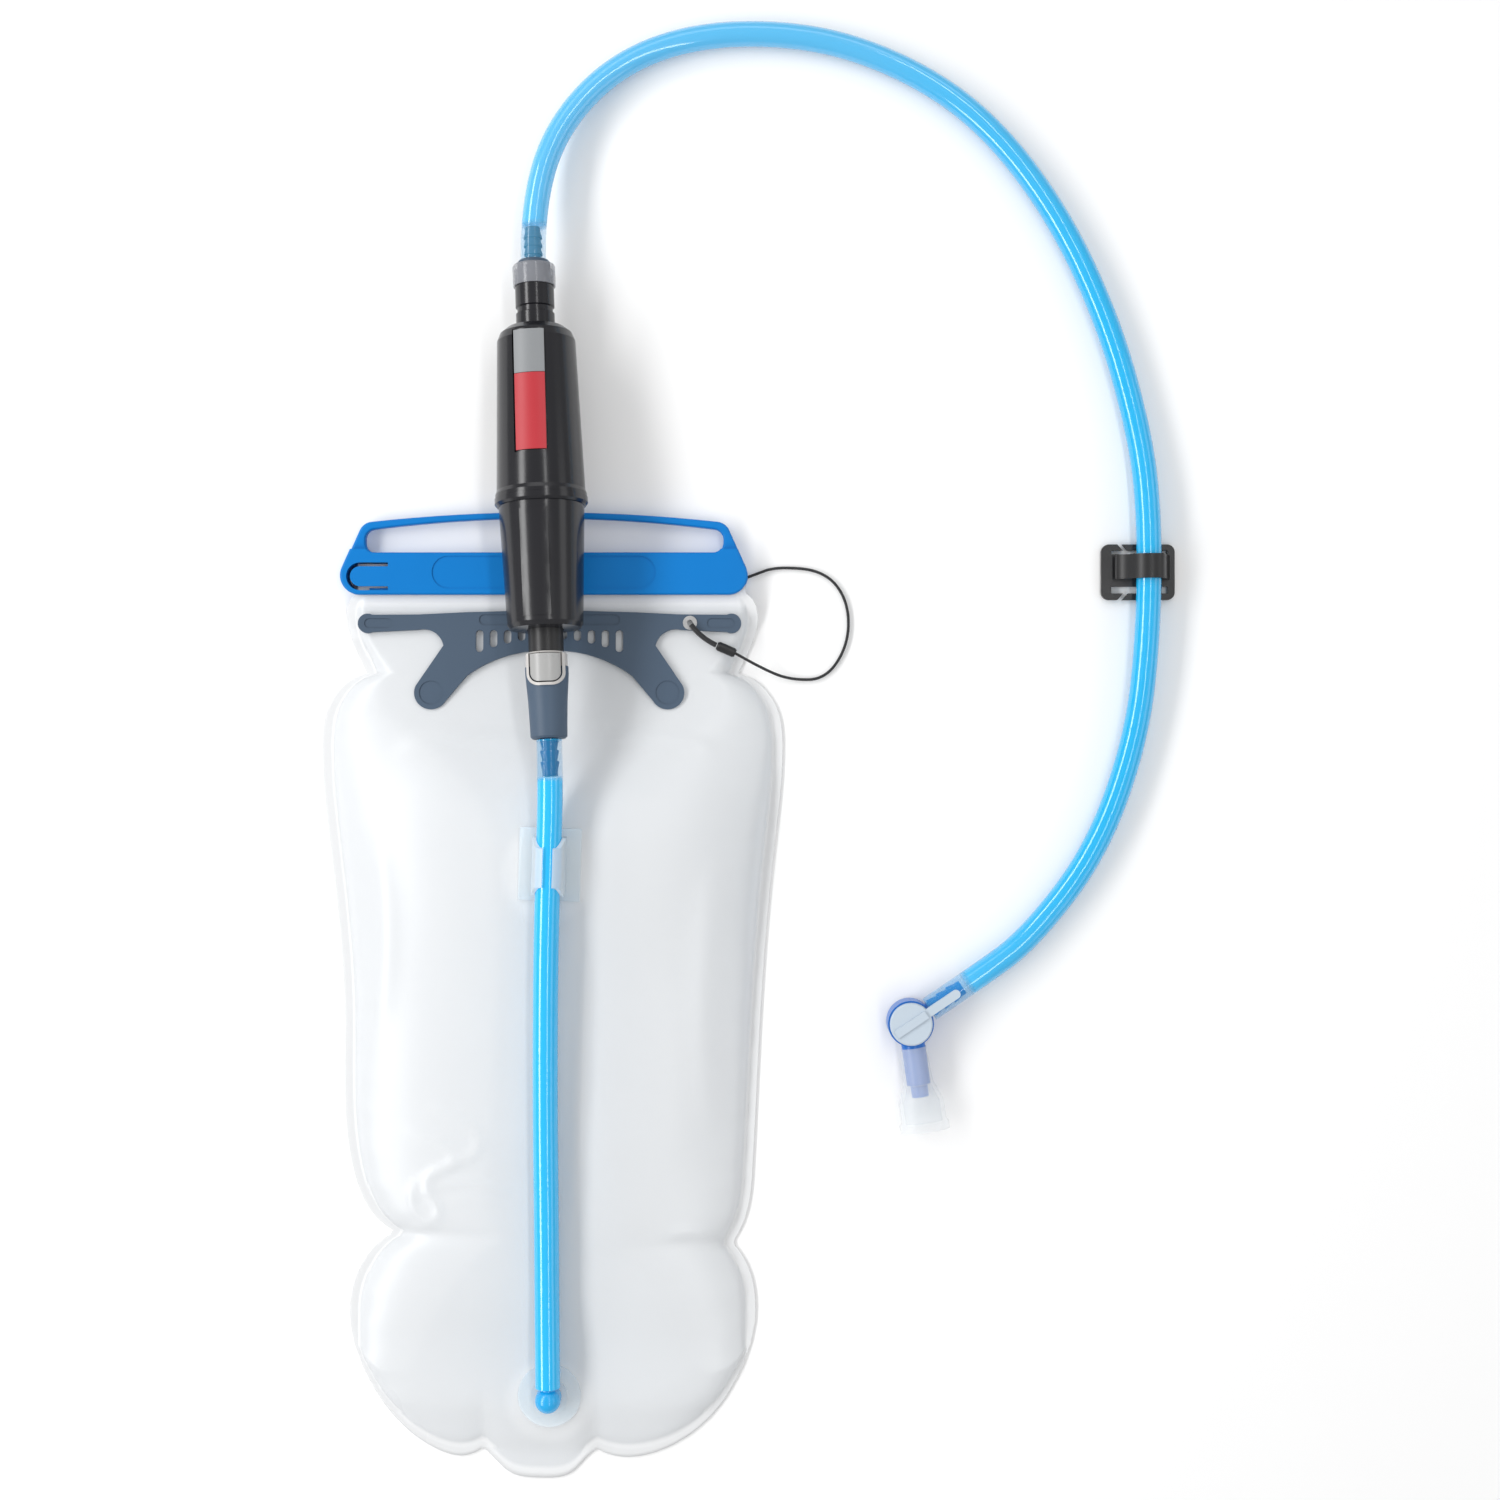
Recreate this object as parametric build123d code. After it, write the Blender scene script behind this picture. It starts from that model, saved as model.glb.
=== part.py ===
from build123d import *

import os
from math import cos, radians, sin, tan

os.makedirs("parts", exist_ok=True)

# Hydration bladder lying on its back film: +X right, +Y from the bag's foot to its
# mouth, +Z up from the surface. Lengths in millimetres, angles in degrees.

# ---- driving dimensions ----
OVERALL_LENGTH = 515.0            # bag's foot to the tip of the filter's outlet barb
FOOT_Y = -OVERALL_LENGTH / 2
FILM = 0.4                        # thickness of one film
WELD_TOP = 2 * FILM               # height of the welded edge

SLOT_Z = 5.1                      # height at which the two films meet in the slide bar
RAMP_START = FOOT_Y + 351.5       # the films climb from the surface to the slide bar
RAMP_END = FOOT_Y + 364.5
MOUTH_Y = FOOT_Y + 378.5          # free edge of the films, inside the slide bar
NECK_SLOPE = 0.05                 # rise of the neck's top per millimetre towards the foot

HOSE_OUTER_R = 5.2
HOSE_INNER_R = 3.5
BARB_CORE_R = 3.1
BARB_RIB_R = 3.75

BAR_CENTRE_X = -3.0
BAR_HALF_LENGTH = 84.0
BAR_FOOT_Y = FOOT_Y + 365.6
BAR_HEIGHT = 34.2                 # along Y, at the middle
BAR_THICK = 9.4
CHANNEL_WIDTH = 17.4              # along Y
HANDLE_THICK = 4.8
RAIL_HALF_LENGTH = 80.0
RAIL_THICK = 2.0
RAIL_Y = (FOOT_Y + 369.6, FOOT_Y + 377.6)

YOKE_THICK = 2.2
YOKE_CENTRE_X = -0.7

FILTER_TILT = 5.0                 # outlet end down
FILTER_LEAN = 2.3                 # outlet end towards -X
SOCKET_FACE = (0.0, FOOT_Y + 341.0, 30.8)
PANEL_ROLL = 7.0                  # the flat panels face a little towards +X
SHELL_WALL = 1.7

VALVE_CENTRE = (147.7, -67.9)
VALVE_AXIS_Z = 7.4
VALVE_HOSE_ANGLE = 34.0
VALVE_OUTLET_ANGLE = -82.0

CLIP_CENTRE = (242.4, 117.8)
CLIP_HOSE_X = 246.0
CLIP_HOSE_Z = 7.8

CORD_R = 0.6

# ---- routes of the hoses and the tether, as control points ----
SUPPLY_ROUTE = [
    (-0.8, -216.0, 15.2), (-1.0, -190.0, 15.9), (-0.8, -150.0, 21.0), (-1.0, -95.0, 25.6),
    (-0.3, -36.0, 30.0), (1.2, 4.0, 33.2), (2.1, 32.0, 35.3), (1.4, 48.25, 33.9),
]
DRINK_ROUTE = [
    (-6.4, 243.6, 16.8), (-7.2, 264.0, 15.0), (1.2, 298.0, 10.5), (25.5, 326.0, 7.2),
    (60.5, 339.8, 5.4), (106.5, 339.5, 5.4), (145.8, 326.5, 5.4), (179.2, 304.0, 5.4),
    (208.3, 266.5, 5.4), (229.7, 221.0, 5.4), (242.3, 176.0, 5.4), (246.1, 143.0, 7.8),
    (245.9, 94.0, 7.8), (241.5, 49.5, 5.4), (224.8, 2.2, 5.4), (196.8, -34.0, 5.6),
    (175.9, -48.9, 7.3), (155.7, -62.5, 7.4),
]
TETHER_LEAD_ROUTE = [(76.6, 114.3, 1.2), (83.5, 116.7, 1.2), (92.5, 120.2, 1.1), (102.5, 119.4, 1.0)]
TETHER_ROUTE = [
    (102.5, 119.4, 1.0), (112.5, 118.6, 1.0), (122.4, 106.5, 1.0), (122.8, 88.5, 1.0),
    (113.5, 73.6, 1.0), (99.0, 73.2, 1.1), (87.5, 77.4, 4.2), (76.0, 83.8, 9.3),
]
TETHER_LOOP_ROUTE = [(67.9, 87.3, 9.3), (61.6, 90.2, 10.1), (57.6, 95.7, 10.1)]


# ---- helpers ----
def save(name, solid):
    """Write one node."""
    solid.label = name
    export_step(solid, f"parts/{name}.step")


def turned(profile, frame=Plane.XY):
    """Solid of revolution from (radius, height) points, about the frame's Z axis."""
    face = make_face(Plane.XZ * Polyline(*profile, close=True))
    return frame * revolve(face, axis=Axis.Z)


def ring(radius, wire_radius, height, frame=Plane.XY):
    """O-ring about the frame's Z axis."""
    return frame * Pos(0, 0, height) * Torus(radius, wire_radius)


def coil(radius, wire_radius, height, turns, frame=Plane.XY):
    """Compression spring along the frame's Z axis, from its base upwards."""
    path = Helix(pitch=height / turns, height=height, radius=radius)
    section = Plane(origin=path @ 0, z_dir=path % 0) * Circle(wire_radius)
    return frame * sweep(section, path=path, is_frenet=True)


def route_radii(points):
    """Largest arc for each corner: 0.45 of the shorter run over the tangent of half the turn."""
    radii = []
    for before, corner, after in zip(points, points[1:], points[2:]):
        run_in = Vector(*corner) - Vector(*before)
        run_out = Vector(*after) - Vector(*corner)
        half_turn = radians(run_in.get_angle(run_out) / 2)
        radii.append(0.45 * min(run_in.length, run_out.length) / tan(half_turn))
    return radii


def tube(name, points, outer, inner=0.0):
    """Round tube along straight runs joined by tangent arcs."""
    radii = route_radii(points)
    path = FilletPolyline(*points, radius=radii)
    section = Circle(outer) if inner == 0 else Circle(outer) - Circle(inner)
    start = Plane(origin=path @ 0, z_dir=path % 0)
    solid = sweep(start * section, path=path)
    ideal = section.area * path.length
    print(f"{name}: length {path.length:.1f}, volume {solid.volume / ideal:.4f} of section x length,"
          f" radii {[round(radius) for radius in radii]}")
    return solid


def plate(edges, low, high):
    """Plate with a closed outline in XY, between two heights."""
    return extrude(Pos(0, 0, low) * make_face(edges), amount=high - low)


def stadium(width, height):
    """Flat slot shape with round ends, long way along X."""
    return SlotOverall(width, height)


def filter_frame():
    """Frame on the socket's mouth: Z along the filter to its outlet, Y up, X to the left."""
    lean, tilt = radians(FILTER_LEAN), radians(FILTER_TILT)
    axis = (-sin(lean) * cos(tilt), cos(lean) * cos(tilt), -sin(tilt))
    return Plane(origin=SOCKET_FACE, x_dir=(-cos(lean), -sin(lean), 0), z_dir=axis)


def above(frame, offset):
    """The same frame, moved along its own Z."""
    return frame * Pos(0, 0, offset)


# ---- bag ----
def bag_outline():
    """Outline of both films; corners are the moulded notches, which differ on the two sides."""
    def up(points):
        return [(x, FOOT_Y + rise) for x, rise in points]

    foot = Spline(*up([(-28.5, 13), (-24, 8), (-17, 2.0), (-5, 0), (7.5, 2.0), (13.5, 8), (18.3, 12)]))
    right_lobe = Spline(*up([(18.3, 12), (30, 8.6), (45, 11.5), (65, 25), (77, 43), (84, 68), (82, 85), (74.5, 97.5)]))
    left_lobe = Spline(*up([(-28.5, 13), (-38, 9.2), (-48, 12), (-65, 25), (-77, 43), (-84, 68), (-79.5, 88),
                            (-65, 102)]))
    top = [(83, 130), (86, 190), (91.5, 258), (95.4, 303), (93.8, 317), (87.5, 327.5), (77, 333.5)]
    right_side = Spline(*up([(74.5, 97.5), (79.5, 107), *top]))
    left_side = Spline(*up([(-65, 102), (-75.5, 111), *[(-x, rise) for x, rise in top]]))
    neck = Spline(*up([(77, 333.5), (81.5, 343), (85, 354.5), (84, 362), (80, 366.5)]))
    mouth = [Line((80, FOOT_Y + 366.5), (80, MOUTH_Y)), Line((80, MOUTH_Y), (0, MOUTH_Y))]
    half = [neck, *mouth]
    return [foot, right_lobe, left_lobe, right_side, left_side] + half + [mirror(e, about=Plane.YZ) for e in half]


def film_sheet(lift):
    """One film's welded border and rising mouth, at its height above the surface."""
    climb = SLOT_Z - FILM
    under = [(FOOT_Y - 5, lift), (RAMP_START, lift), (RAMP_END, climb + lift), (MOUTH_Y + 5, climb + lift)]
    over = [(y, z + FILM) for y, z in reversed(under)]
    strip = extrude(make_face(Plane.YZ * Polyline(*under, *over, close=True)), amount=110, both=True)
    return plate(bag_outline(), -1, 12) & strip


# distance from the foot, half width, top height, width of the rounded shoulder
BAG_STATIONS = [
    (12.5, 14, 1.2, 3), (17, 36, 7.0, 8), (34, 61, 7.0, 9), (51, 72, 7.0, 10), (84, 70, 12.0, 18),
    (101, 57, 13.5, 20), (118, 70, 15.0, 22), (150, 77, 17.5, 26), (200, 80, 20.5, 28),
    (270, 86, 26.0, 30), (296, 88, 17.0, 26), (316.5, 84, 7.9, 5), (334, 71, 7.025, 3),
    (351.5, 77.5, 6.15, 2), (364.5, 78, 5.5, 0.3),
]


def bag_section(rise, half_width, top, shoulder, inset):
    """Flat-topped section across the bag, drawn a given inset inside its outer skin."""
    y = FOOT_Y + rise
    base = FILM
    if y > RAMP_START:
        base += (SLOT_Z - FILM) * (y - RAMP_START) / (RAMP_END - RAMP_START)
    base -= 0.05 if inset else 0
    half, top = half_width - inset, top - inset
    knee = base + 0.65 * (top - base)
    right = [(half, base), (half - 0.25 * shoulder, knee), (half - shoulder, top)]
    left = [(-x, z) for x, z in reversed(right)]
    return make_face(Plane(origin=(0, y, 0), x_dir=(1, 0, 0), z_dir=(0, -1, 0)) * Polyline(*right, *left, close=True))


def front_film():
    """Front film: welded border with the bulge that holds the water, one wall thick."""
    outer = loft([bag_section(*station, 0) for station in BAG_STATIONS], ruled=True)
    inner_stations = [(14.0, 22, 2.6, 3), *BAG_STATIONS[1:-1], (362.5, 77.5, 5.9, 0.5)]
    inner = loft([bag_section(*station, FILM) for station in inner_stations], ruled=True)
    port_hole = Pos(PORT_X, PORT_Y, 5) * Cylinder(4.2, 8)
    return film_sheet(FILM) + outer - inner - port_hole


def mouth_rail(low, outer_edges_high):
    """Half-round strip along the mouth, on the outside of one film."""
    width = RAIL_Y[1] - RAIL_Y[0]
    strip = Pos(0, (RAIL_Y[0] + RAIL_Y[1]) / 2, low + RAIL_THICK / 2) * Box(2 * RAIL_HALF_LENGTH, width, RAIL_THICK)
    level = low + RAIL_THICK if outer_edges_high else low
    edges = [edge for edge in strip.edges().filter_by(Axis.X) if abs(edge.center().Z - level) < 0.01]
    return fillet(edges, 1.2)


# ---- slide bar ----
BAR_RAIL_SAG = 3.9                # fall of the handle's rail from its middle to its ends


def bar_outline():
    """Outline of the slide bar, seen from above."""
    foot = BAR_FOOT_Y
    half = BAR_HALF_LENGTH
    shoulder = foot + BAR_HEIGHT - BAR_RAIL_SAG - 0.4
    lean = (half + 4.2 - 75.5) / 28.5
    top = 75.5 - (shoulder - foot - 28.5) * lean
    arch = ThreePointArc((-top, shoulder), (0, foot + BAR_HEIGHT), (top, shoulder))
    sides = Polyline((top, shoulder), (half + 4.2, foot), (-half - 4.2, foot), (-top, shoulder))
    face = make_face([arch, *sides.edges()])
    low = [vertex for vertex in face.vertices() if vertex.Y < foot + 1]
    rounded = fillet(low, 8.0)
    high = [vertex for vertex in rounded.vertices() if vertex.Y > shoulder - 1]
    return fillet(high, 6.0)


def softened(prism, radius):
    """Prism with its top and bottom edges rounded."""
    levels = prism.edges().group_by(Axis.Z)
    return fillet(levels[0] + levels[-1], radius)


def bar_window():
    """Finger opening between the handle's rail and the channel."""
    low, end = BAR_FOOT_Y + CHANNEL_WIDTH, 73.8
    high = BAR_FOOT_Y + BAR_HEIGHT - 2.5
    arch = ThreePointArc((-end, high - 5.0), (0, high), (end, high - 5.0))
    sides = Polyline((end, high - 5.0), (end, low), (-end, low), (-end, high - 5.0))
    window = make_face([arch, *sides.edges()])
    return fillet(window.vertices(), 4.2)


def slide_bar():
    """Slide-off closure: a C-channel that squeezes the two mouth rails, with a handle loop."""
    foot, gap = BAR_FOOT_Y, 0.3
    frame_face = bar_outline() - bar_window()
    channel = softened(extrude(frame_face, amount=BAR_THICK), 1.0)
    handle = softened(extrude(Pos(0, 0, 1.5) * frame_face, amount=HANDLE_THICK), 1.0)
    handle_zone = Pos(0, foot + CHANNEL_WIDTH + 1.4 + 20, 0) * Box(200, 40, 60)
    body = (channel - handle_zone) + (handle & handle_zone)
    cavity_low, cavity_high = SLOT_Z - FILM - RAIL_THICK - gap, SLOT_Z + FILM + RAIL_THICK + gap
    cavity_foot, cavity_head = RAIL_Y[0] - 1.2, MOUTH_Y + 0.6
    left_wall = -RAIL_HALF_LENGTH - BAR_CENTRE_X - 1.5
    cavity = Pos((left_wall + 120) / 2, (cavity_foot + cavity_head) / 2, (cavity_low + cavity_high) / 2) * Box(
        120 - left_wall, cavity_head - cavity_foot, cavity_high - cavity_low)
    slot = Pos((left_wall + 120) / 2, foot, SLOT_Z) * Box(120 - left_wall, 2 * (cavity_foot - foot) + 1, 1.8)
    body -= cavity + slot
    body -= tongue_slot()
    grip = Pos(0, foot + 9.2, BAR_THICK) * stadium(92, 13.4)
    body -= extrude(grip, amount=-0.45)
    tether_hole = Plane(origin=TETHER_LEAD_ROUTE[0], z_dir=Vector(*TETHER_LEAD_ROUTE[1]) - Vector(*TETHER_LEAD_ROUTE[0]))
    placed = Pos(BAR_CENTRE_X, 0, 0) * body
    return placed - tether_hole * Pos(0, 0, 5) * Cylinder(CORD_R + 0.12, 10.4)


def tongue_slot():
    """U-shaped cut that frees a snap tongue in the top wall; its round end goes right through the bar."""
    middle = BAR_FOOT_Y + 7.5
    outer = Pos(-70.0, middle) * Rectangle(12, 11.4) + Pos(-75.5, middle) * Circle(5.7)
    tongue = Pos(-69.5, middle) * Rectangle(13, 8.2) + Pos(-75.5, middle) * Circle(4.1)
    through = (outer - tongue) & Pos(-80, middle) * Rectangle(16, 20)
    return extrude(Pos(0, 0, BAR_THICK - 2.5) * (outer - tongue), amount=3) + extrude(through, amount=BAR_THICK + 1)


# ---- yoke ----
def neck_frame():
    """Frame on the neck's sloping top: origin above the bag's middle line, Z off the film."""
    y = FOOT_Y + 340
    height = SLOT_Z + FILM + (RAMP_END - y) * NECK_SLOPE
    return Plane(origin=(YOKE_CENTRE_X, y, height), x_dir=(1, 0, 0), z_dir=(0, NECK_SLOPE, 1))


def hanger_yoke():
    """Hanger plate on the neck: two arms, two legs and a row of hook slots."""
    top = Polyline((0, 19.3), (35, 18.3), (54, 17.4), (73, 17.3))
    tip = ThreePointArc((73, 17.3), (78.9, 13.8), (73, 10.2))
    under = Line((73, 10.2), (54, 11.1))
    armpit = ThreePointArc((54, 11.1), (46.4, 9.3), (43.6, 4.6))
    leg = Line((43.6, 4.6), (54.9, -12.0))
    foot = ThreePointArc((54.9, -12.0), (51.5, -21.1), (42.6, -18.2))
    calf = Line((42.6, -18.2), (34, -7.9))
    arch = ThreePointArc((34, -7.9), (18.2, 0.1), (0, 2.5))
    right = [*top.edges(), tip, under, armpit, leg, foot, calf, arch]
    face = make_face(right + [mirror(edge, about=Plane.YZ) for edge in right])
    body = extrude(face, amount=YOKE_THICK)
    for index in range(-5, 6):
        length = 3.6 + 0.22 * index * index
        slot = Pos(5.75 * index, 11.0 - length / 2, 0) * stadium(length, 3.1).rotate(Axis.Z, 90)
        body -= extrude(Pos(0, 0, -1) * slot, amount=YOKE_THICK + 2)
    pads = Pos(0, 15.2) * stadium(58, 4.4)
    for side in (-1, 1):
        pads += Pos(side * 70.5, 13.8) * stadium(11.5, 4.0)
        pads += Pos(side * 48.6, -14.8) * Circle(4.9)
    body -= extrude(Pos(0, 0, YOKE_THICK) * pads, amount=-0.4)
    eyelet = Pos(*EYELET_ON_YOKE, YOKE_THICK / 2) * Cylinder(2.0, YOKE_THICK + 1)
    return neck_frame() * (body - eyelet)


EYELET_ON_YOKE = (57.8, 13.9)


def tether_eyelet():
    """Grommet in the yoke that the tether's loop passes through."""
    low, high = 0.05, YOKE_THICK + 0.5
    profile = [(1.2, low), (1.95, low), (1.95, YOKE_THICK + 0.02), (2.9, YOKE_THICK + 0.02), (2.9, high), (1.2, high)]
    return turned(profile, neck_frame() * Pos(*EYELET_ON_YOKE, 0))


def tether_ferrule():
    """Crimp barrel that closes the tether's loop."""
    start, end = Vector(*TETHER_ROUTE[-1]), Vector(*TETHER_LOOP_ROUTE[0])
    frame = Plane(origin=start, z_dir=end - start)
    low, high = 0.2, (end - start).length - 0.4
    profile = [(0, low), (1.5, low), (1.95, low + 0.8), (1.95, high - 0.8), (1.5, high), (0, high)]
    return turned(profile, frame)


def tether_loop():
    """Doubled cord from the ferrule to the eyelet."""
    return tube("tether_loop", TETHER_LOOP_ROUTE, 2 * CORD_R * 0.9)


# ---- port and keeper ----
PORT_X = SUPPLY_ROUTE[0][0]
PORT_Y = FOOT_Y + 36.0
PORT_BASE = 7.0                   # the film's height under the port
PORT_AXIS_Z = SUPPLY_ROUTE[0][2]
PORT_BARB_END = 58.0 - 36.0


def port_flange():
    """Disc welded on the front film, with a socket for the elbow."""
    profile = [(4.2, 0), (13.0, 0), (13.0, 0.7), (7.6, 1.4), (7.6, 2.7), (4.2, 2.7)]
    return turned(profile, Plane(origin=(PORT_X, PORT_Y, PORT_BASE)))


def port_elbow():
    """Elbow that turns the water from the bag up the front, with a barb for the hose."""
    frame = Plane(origin=(PORT_X, PORT_Y, PORT_BASE))
    rise = PORT_AXIS_Z - PORT_BASE
    barrel = turned([(0, -1.5), (4.1, -1.5), (4.1, 2.8), (5.2, 2.8), (5.2, rise), (0, rise)], frame)
    dome = frame * Pos(0, 0, rise) * Sphere(5.2)
    along = Plane(origin=(PORT_X, PORT_Y, PORT_AXIS_Z), z_dir=(0, 1, 0))
    barb = barb_solid(along, 4.0, PORT_BARB_END)
    passage = frame * Pos(0, 0, rise / 2 - 2) * Cylinder(2.2, rise + 4)
    passage += along * Pos(0, 0, PORT_BARB_END / 2) * Cylinder(2.2, PORT_BARB_END + 1)
    return barrel + dome + barb - passage


def barb_solid(frame, start, end):
    """Hose barb with three ribs near its end, from start to end along the frame's Z."""
    core, rib = BARB_CORE_R, BARB_RIB_R
    pitch = (end - start) / 4.2
    points = [(0, start), (core, start)]
    for index in range(3):
        foot = start + (index + 1) * pitch - 0.4
        points += [(core, foot), (rib, foot), (rib, foot + 0.5), (core, foot + pitch * 0.8)]
    points += [(core, end), (0, end)]
    return turned(points, frame)


KEEPER_Y = -2.5
KEEPER_LENGTH = 23.5


def keeper_frame():
    """Frame on the hose's line over the bag: Z along the hose, Y up."""
    low, high = Vector(*SUPPLY_ROUTE[4]), Vector(*SUPPLY_ROUTE[5])
    along = (high - low).normalized()
    middle = low + (high - low) * ((KEEPER_Y - low.Y) / (high.Y - low.Y))
    return Plane(origin=middle, x_dir=(-1, 0, 0), z_dir=along)


def hose_keeper():
    """Soft keeper on the front film: two lips that close over the hose and a weld plate."""
    bore, wall = HOSE_OUTER_R + 0.2, 1.3
    outer = bore + wall
    foot = -7.55
    lips = extrude(Circle(outer) + Pos(0, foot / 2 - 1.2) * Rectangle(2 * outer, -foot - 2.4), amount=KEEPER_LENGTH / 2,
                   both=True)
    base = extrude(Pos(0, foot + 0.5) * Rectangle(25, 1.0), amount=KEEPER_LENGTH / 2 + 3, both=True)
    body = lips + base
    body = body - Cylinder(bore, 2 * KEEPER_LENGTH)
    gap = Pos(0, outer, 0) * Box(4.0, 2 * outer, 2 * KEEPER_LENGTH)
    body -= gap
    for side in (-1, 1):
        flare = Plane.YZ * Polyline((1.5, side * 13), (1.5, side * 11.7), (4.4, side * 8.2), (8, side * 7.4),
                                    (8, side * 13), close=True)
        body -= extrude(make_face(flare), amount=10, both=True)
    return keeper_frame() * body


# ---- quick-disconnect socket ----
def thumb_window(margin, low, front=-1.0):
    """Column over the socket's top, from a height upwards, in the thumb pad's outline plus a margin."""
    back = -12.5 - margin
    outline = Pos(0, (front + back) / 2) * Rectangle(2 * (BUTTON_HALF_WIDTH + margin), front - back)
    corners = [vertex for vertex in outline.vertices() if vertex.Y < -8]
    outline = fillet(corners, 3.6 + margin)
    return extrude(Plane(origin=(0, low, 0), x_dir=(-1, 0, 0), z_dir=(0, 1, 0)) * outline, amount=12)


BUTTON_HALF_WIDTH = 6.1
BUTTON_GAP = 0.6
POCKET_FLOOR = 4.4                # height of the thumb pad's pocket over the plug's axis


def latch_rim():
    """Raised rim round the thumb pad, sunk a little in the socket's skin."""
    skin = extrude(Pos(0, 0, -15.0) * (Circle(9.0) - Circle(8.0)), amount=14.1)
    return skin & thumb_window(1.7, 0)


def socket_body():
    """Soft-skinned socket: bore for the plug, valve chamber and the thumb pad's pocket."""
    profile = [(0, -35), (6.6, -35), (7.4, -34.2), (7.5, -30), (7.9, -20), (8.7, -9.2), (8.7, -6.2), (0, -6.2)]
    body = turned(profile)
    body -= Pos(0, 0, -12) * Cylinder(4.1, 11.8)
    body -= Pos(0, 0, -20) * Cylinder(3.2, 6)
    body -= Pos(0, 0, -24) * Cylinder(4.1, 10)
    body -= Pos(0, 0, -33) * Cylinder(2.2, 10)
    body -= Pos(0, 0, -33.1) * Cylinder(3.15, 4.0)
    body -= thumb_window(BUTTON_GAP, POCKET_FLOOR)
    return filter_frame() * (body - latch_rim())


def latch_frame():
    """Pale ring at the socket's mouth, with the raised rim round the thumb pad."""
    body = turned([(4.2, -6.15), (8.4, -6.15), (8.4, -1.2), (7.6, -0.3), (4.2, -0.3)])
    body += latch_rim()
    body -= thumb_window(BUTTON_GAP, POCKET_FLOOR)
    return filter_frame() * body


def release_button():
    """Thumb pad that frees the plug; it sinks into the socket against a spring."""
    pad = thumb_window(0, 5.7, -1.35) & (Pos(0, 0, -8) * Cylinder(8.6, 16))
    return filter_frame() * pad


def button_spring():
    """Spring under the thumb pad."""
    frame = filter_frame() * Pos(0, POCKET_FLOOR + 0.2, -6.3) * Rot(-90, 0, 0)
    return coil(1.6, 0.15, 0.9, 2, frame)


def socket_barb():
    """Barb that the supply hose is pushed on, screwed into the socket."""
    body = barb_solid(Plane.XY, 31.2, 50)
    body -= Pos(0, 0, 40) * Cylinder(2.2, 30)
    body = Rot(180, 0, 0) * body
    return filter_frame() * body


def valve_poppet():
    """Shut-off poppet that the plug's nose holds open."""
    profile = [(0, -22.9), (1.2, -22.9), (1.2, -27.0), (0, -27.0)]
    disc = [(0, -21.5), (3.5, -21.5), (3.8, -22.0), (3.8, -22.9), (0, -22.9)]
    return turned(disc, filter_frame()) + turned(profile, filter_frame())


def poppet_spring():
    """Spring behind the poppet."""
    return coil(2.9, 0.25, 5.4, 5, above(filter_frame(), -28.6))


# ---- filter ----
LOWER_END, SEAM, UPPER_END = 9.0, 62.4, 127.0


def lower_shell():
    """Inlet half of the housing, with its screw collar and a flat panel."""
    wall = SHELL_WALL
    outer = [(7.4, LOWER_END), (14.2, LOWER_END + 0.4), (15.3, LOWER_END + 2.2), (17.3, 59.0), (18.0, 59.2),
             (18.8, 60.2), (18.8, SEAM)]
    inner = [(17.1, SEAM), (17.1, 59.5), (15.5, 59.5), (15.3 - wall, LOWER_END + 4), (13, LOWER_END + 2.6),
             (7.4, LOWER_END + 2.6)]
    body = turned(outer + inner)
    panel_zone = turned([(14.9, 13.0), (15.7, 13.0), (17.45, 56.0), (16.6, 56.0)])
    panel = panel_zone & (Pos(0, 16.0, 34.5) * Box(11.4, 14.0, 50.0))
    return filter_frame() * Rot(0, 0, -PANEL_ROLL) * (body + panel)


def upper_shell():
    """Outlet half of the housing, with the label's recess."""
    wall = SHELL_WALL
    outer = [(18.5, SEAM + 0.1), (18.5, 64.0), (17.9, 65.6), (15.9, UPPER_END), (14.6, 130.2), (11.6, 132.6), (8.6, 133.3),
             (4.6, 133.3)]
    inner = [(4.6, 131.3), (8.0, 131.3), (11.4, 130.2), (15.9 - wall, UPPER_END - 1), (16.1, 68), (15.5, SEAM),
             (15.5, 59.7), (17.05, 59.7), (17.05, 60.7), (16.2, 60.7), (16.2, 61.7), (17.05, 61.7), (17.05, SEAM + 0.1)]
    body = turned(outer + inner)
    recess = label_solid(78.6, 129.2, 6.8, 0.9)
    return filter_frame() * Rot(0, 0, -PANEL_ROLL) * (body - recess)


def label_solid(start, end, half_width, depth):
    """Thin curved plate on the top of the upper shell, between two stations."""
    def radius(station):
        return 17.9 - 2.0 * (station - 65.6) / (UPPER_END - 65.6)

    skin = turned([(radius(start) - depth, start), (radius(start) + 0.05, start), (radius(end) + 0.05, end),
                   (radius(end) - depth, end)])
    return skin & (Pos(0, 14, (start + end) / 2) * Box(2 * half_width, 12, end - start))


def label_panel(start, end, half_width):
    """Plain printed label in the recess."""
    plate_solid = label_solid(start, end, half_width, 0.85) & label_zone(start, end)
    return filter_frame() * Rot(0, 0, -PANEL_ROLL) * plate_solid


def label_zone(start, end):
    """Space of a label that stands a little below the shell's surface."""
    def radius(station):
        return 17.9 - 2.0 * (station - 65.6) / (UPPER_END - 65.6)

    return turned([(0, start), (radius(start) - 0.3, start), (radius(end) - 0.3, end), (0, end)])


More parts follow.
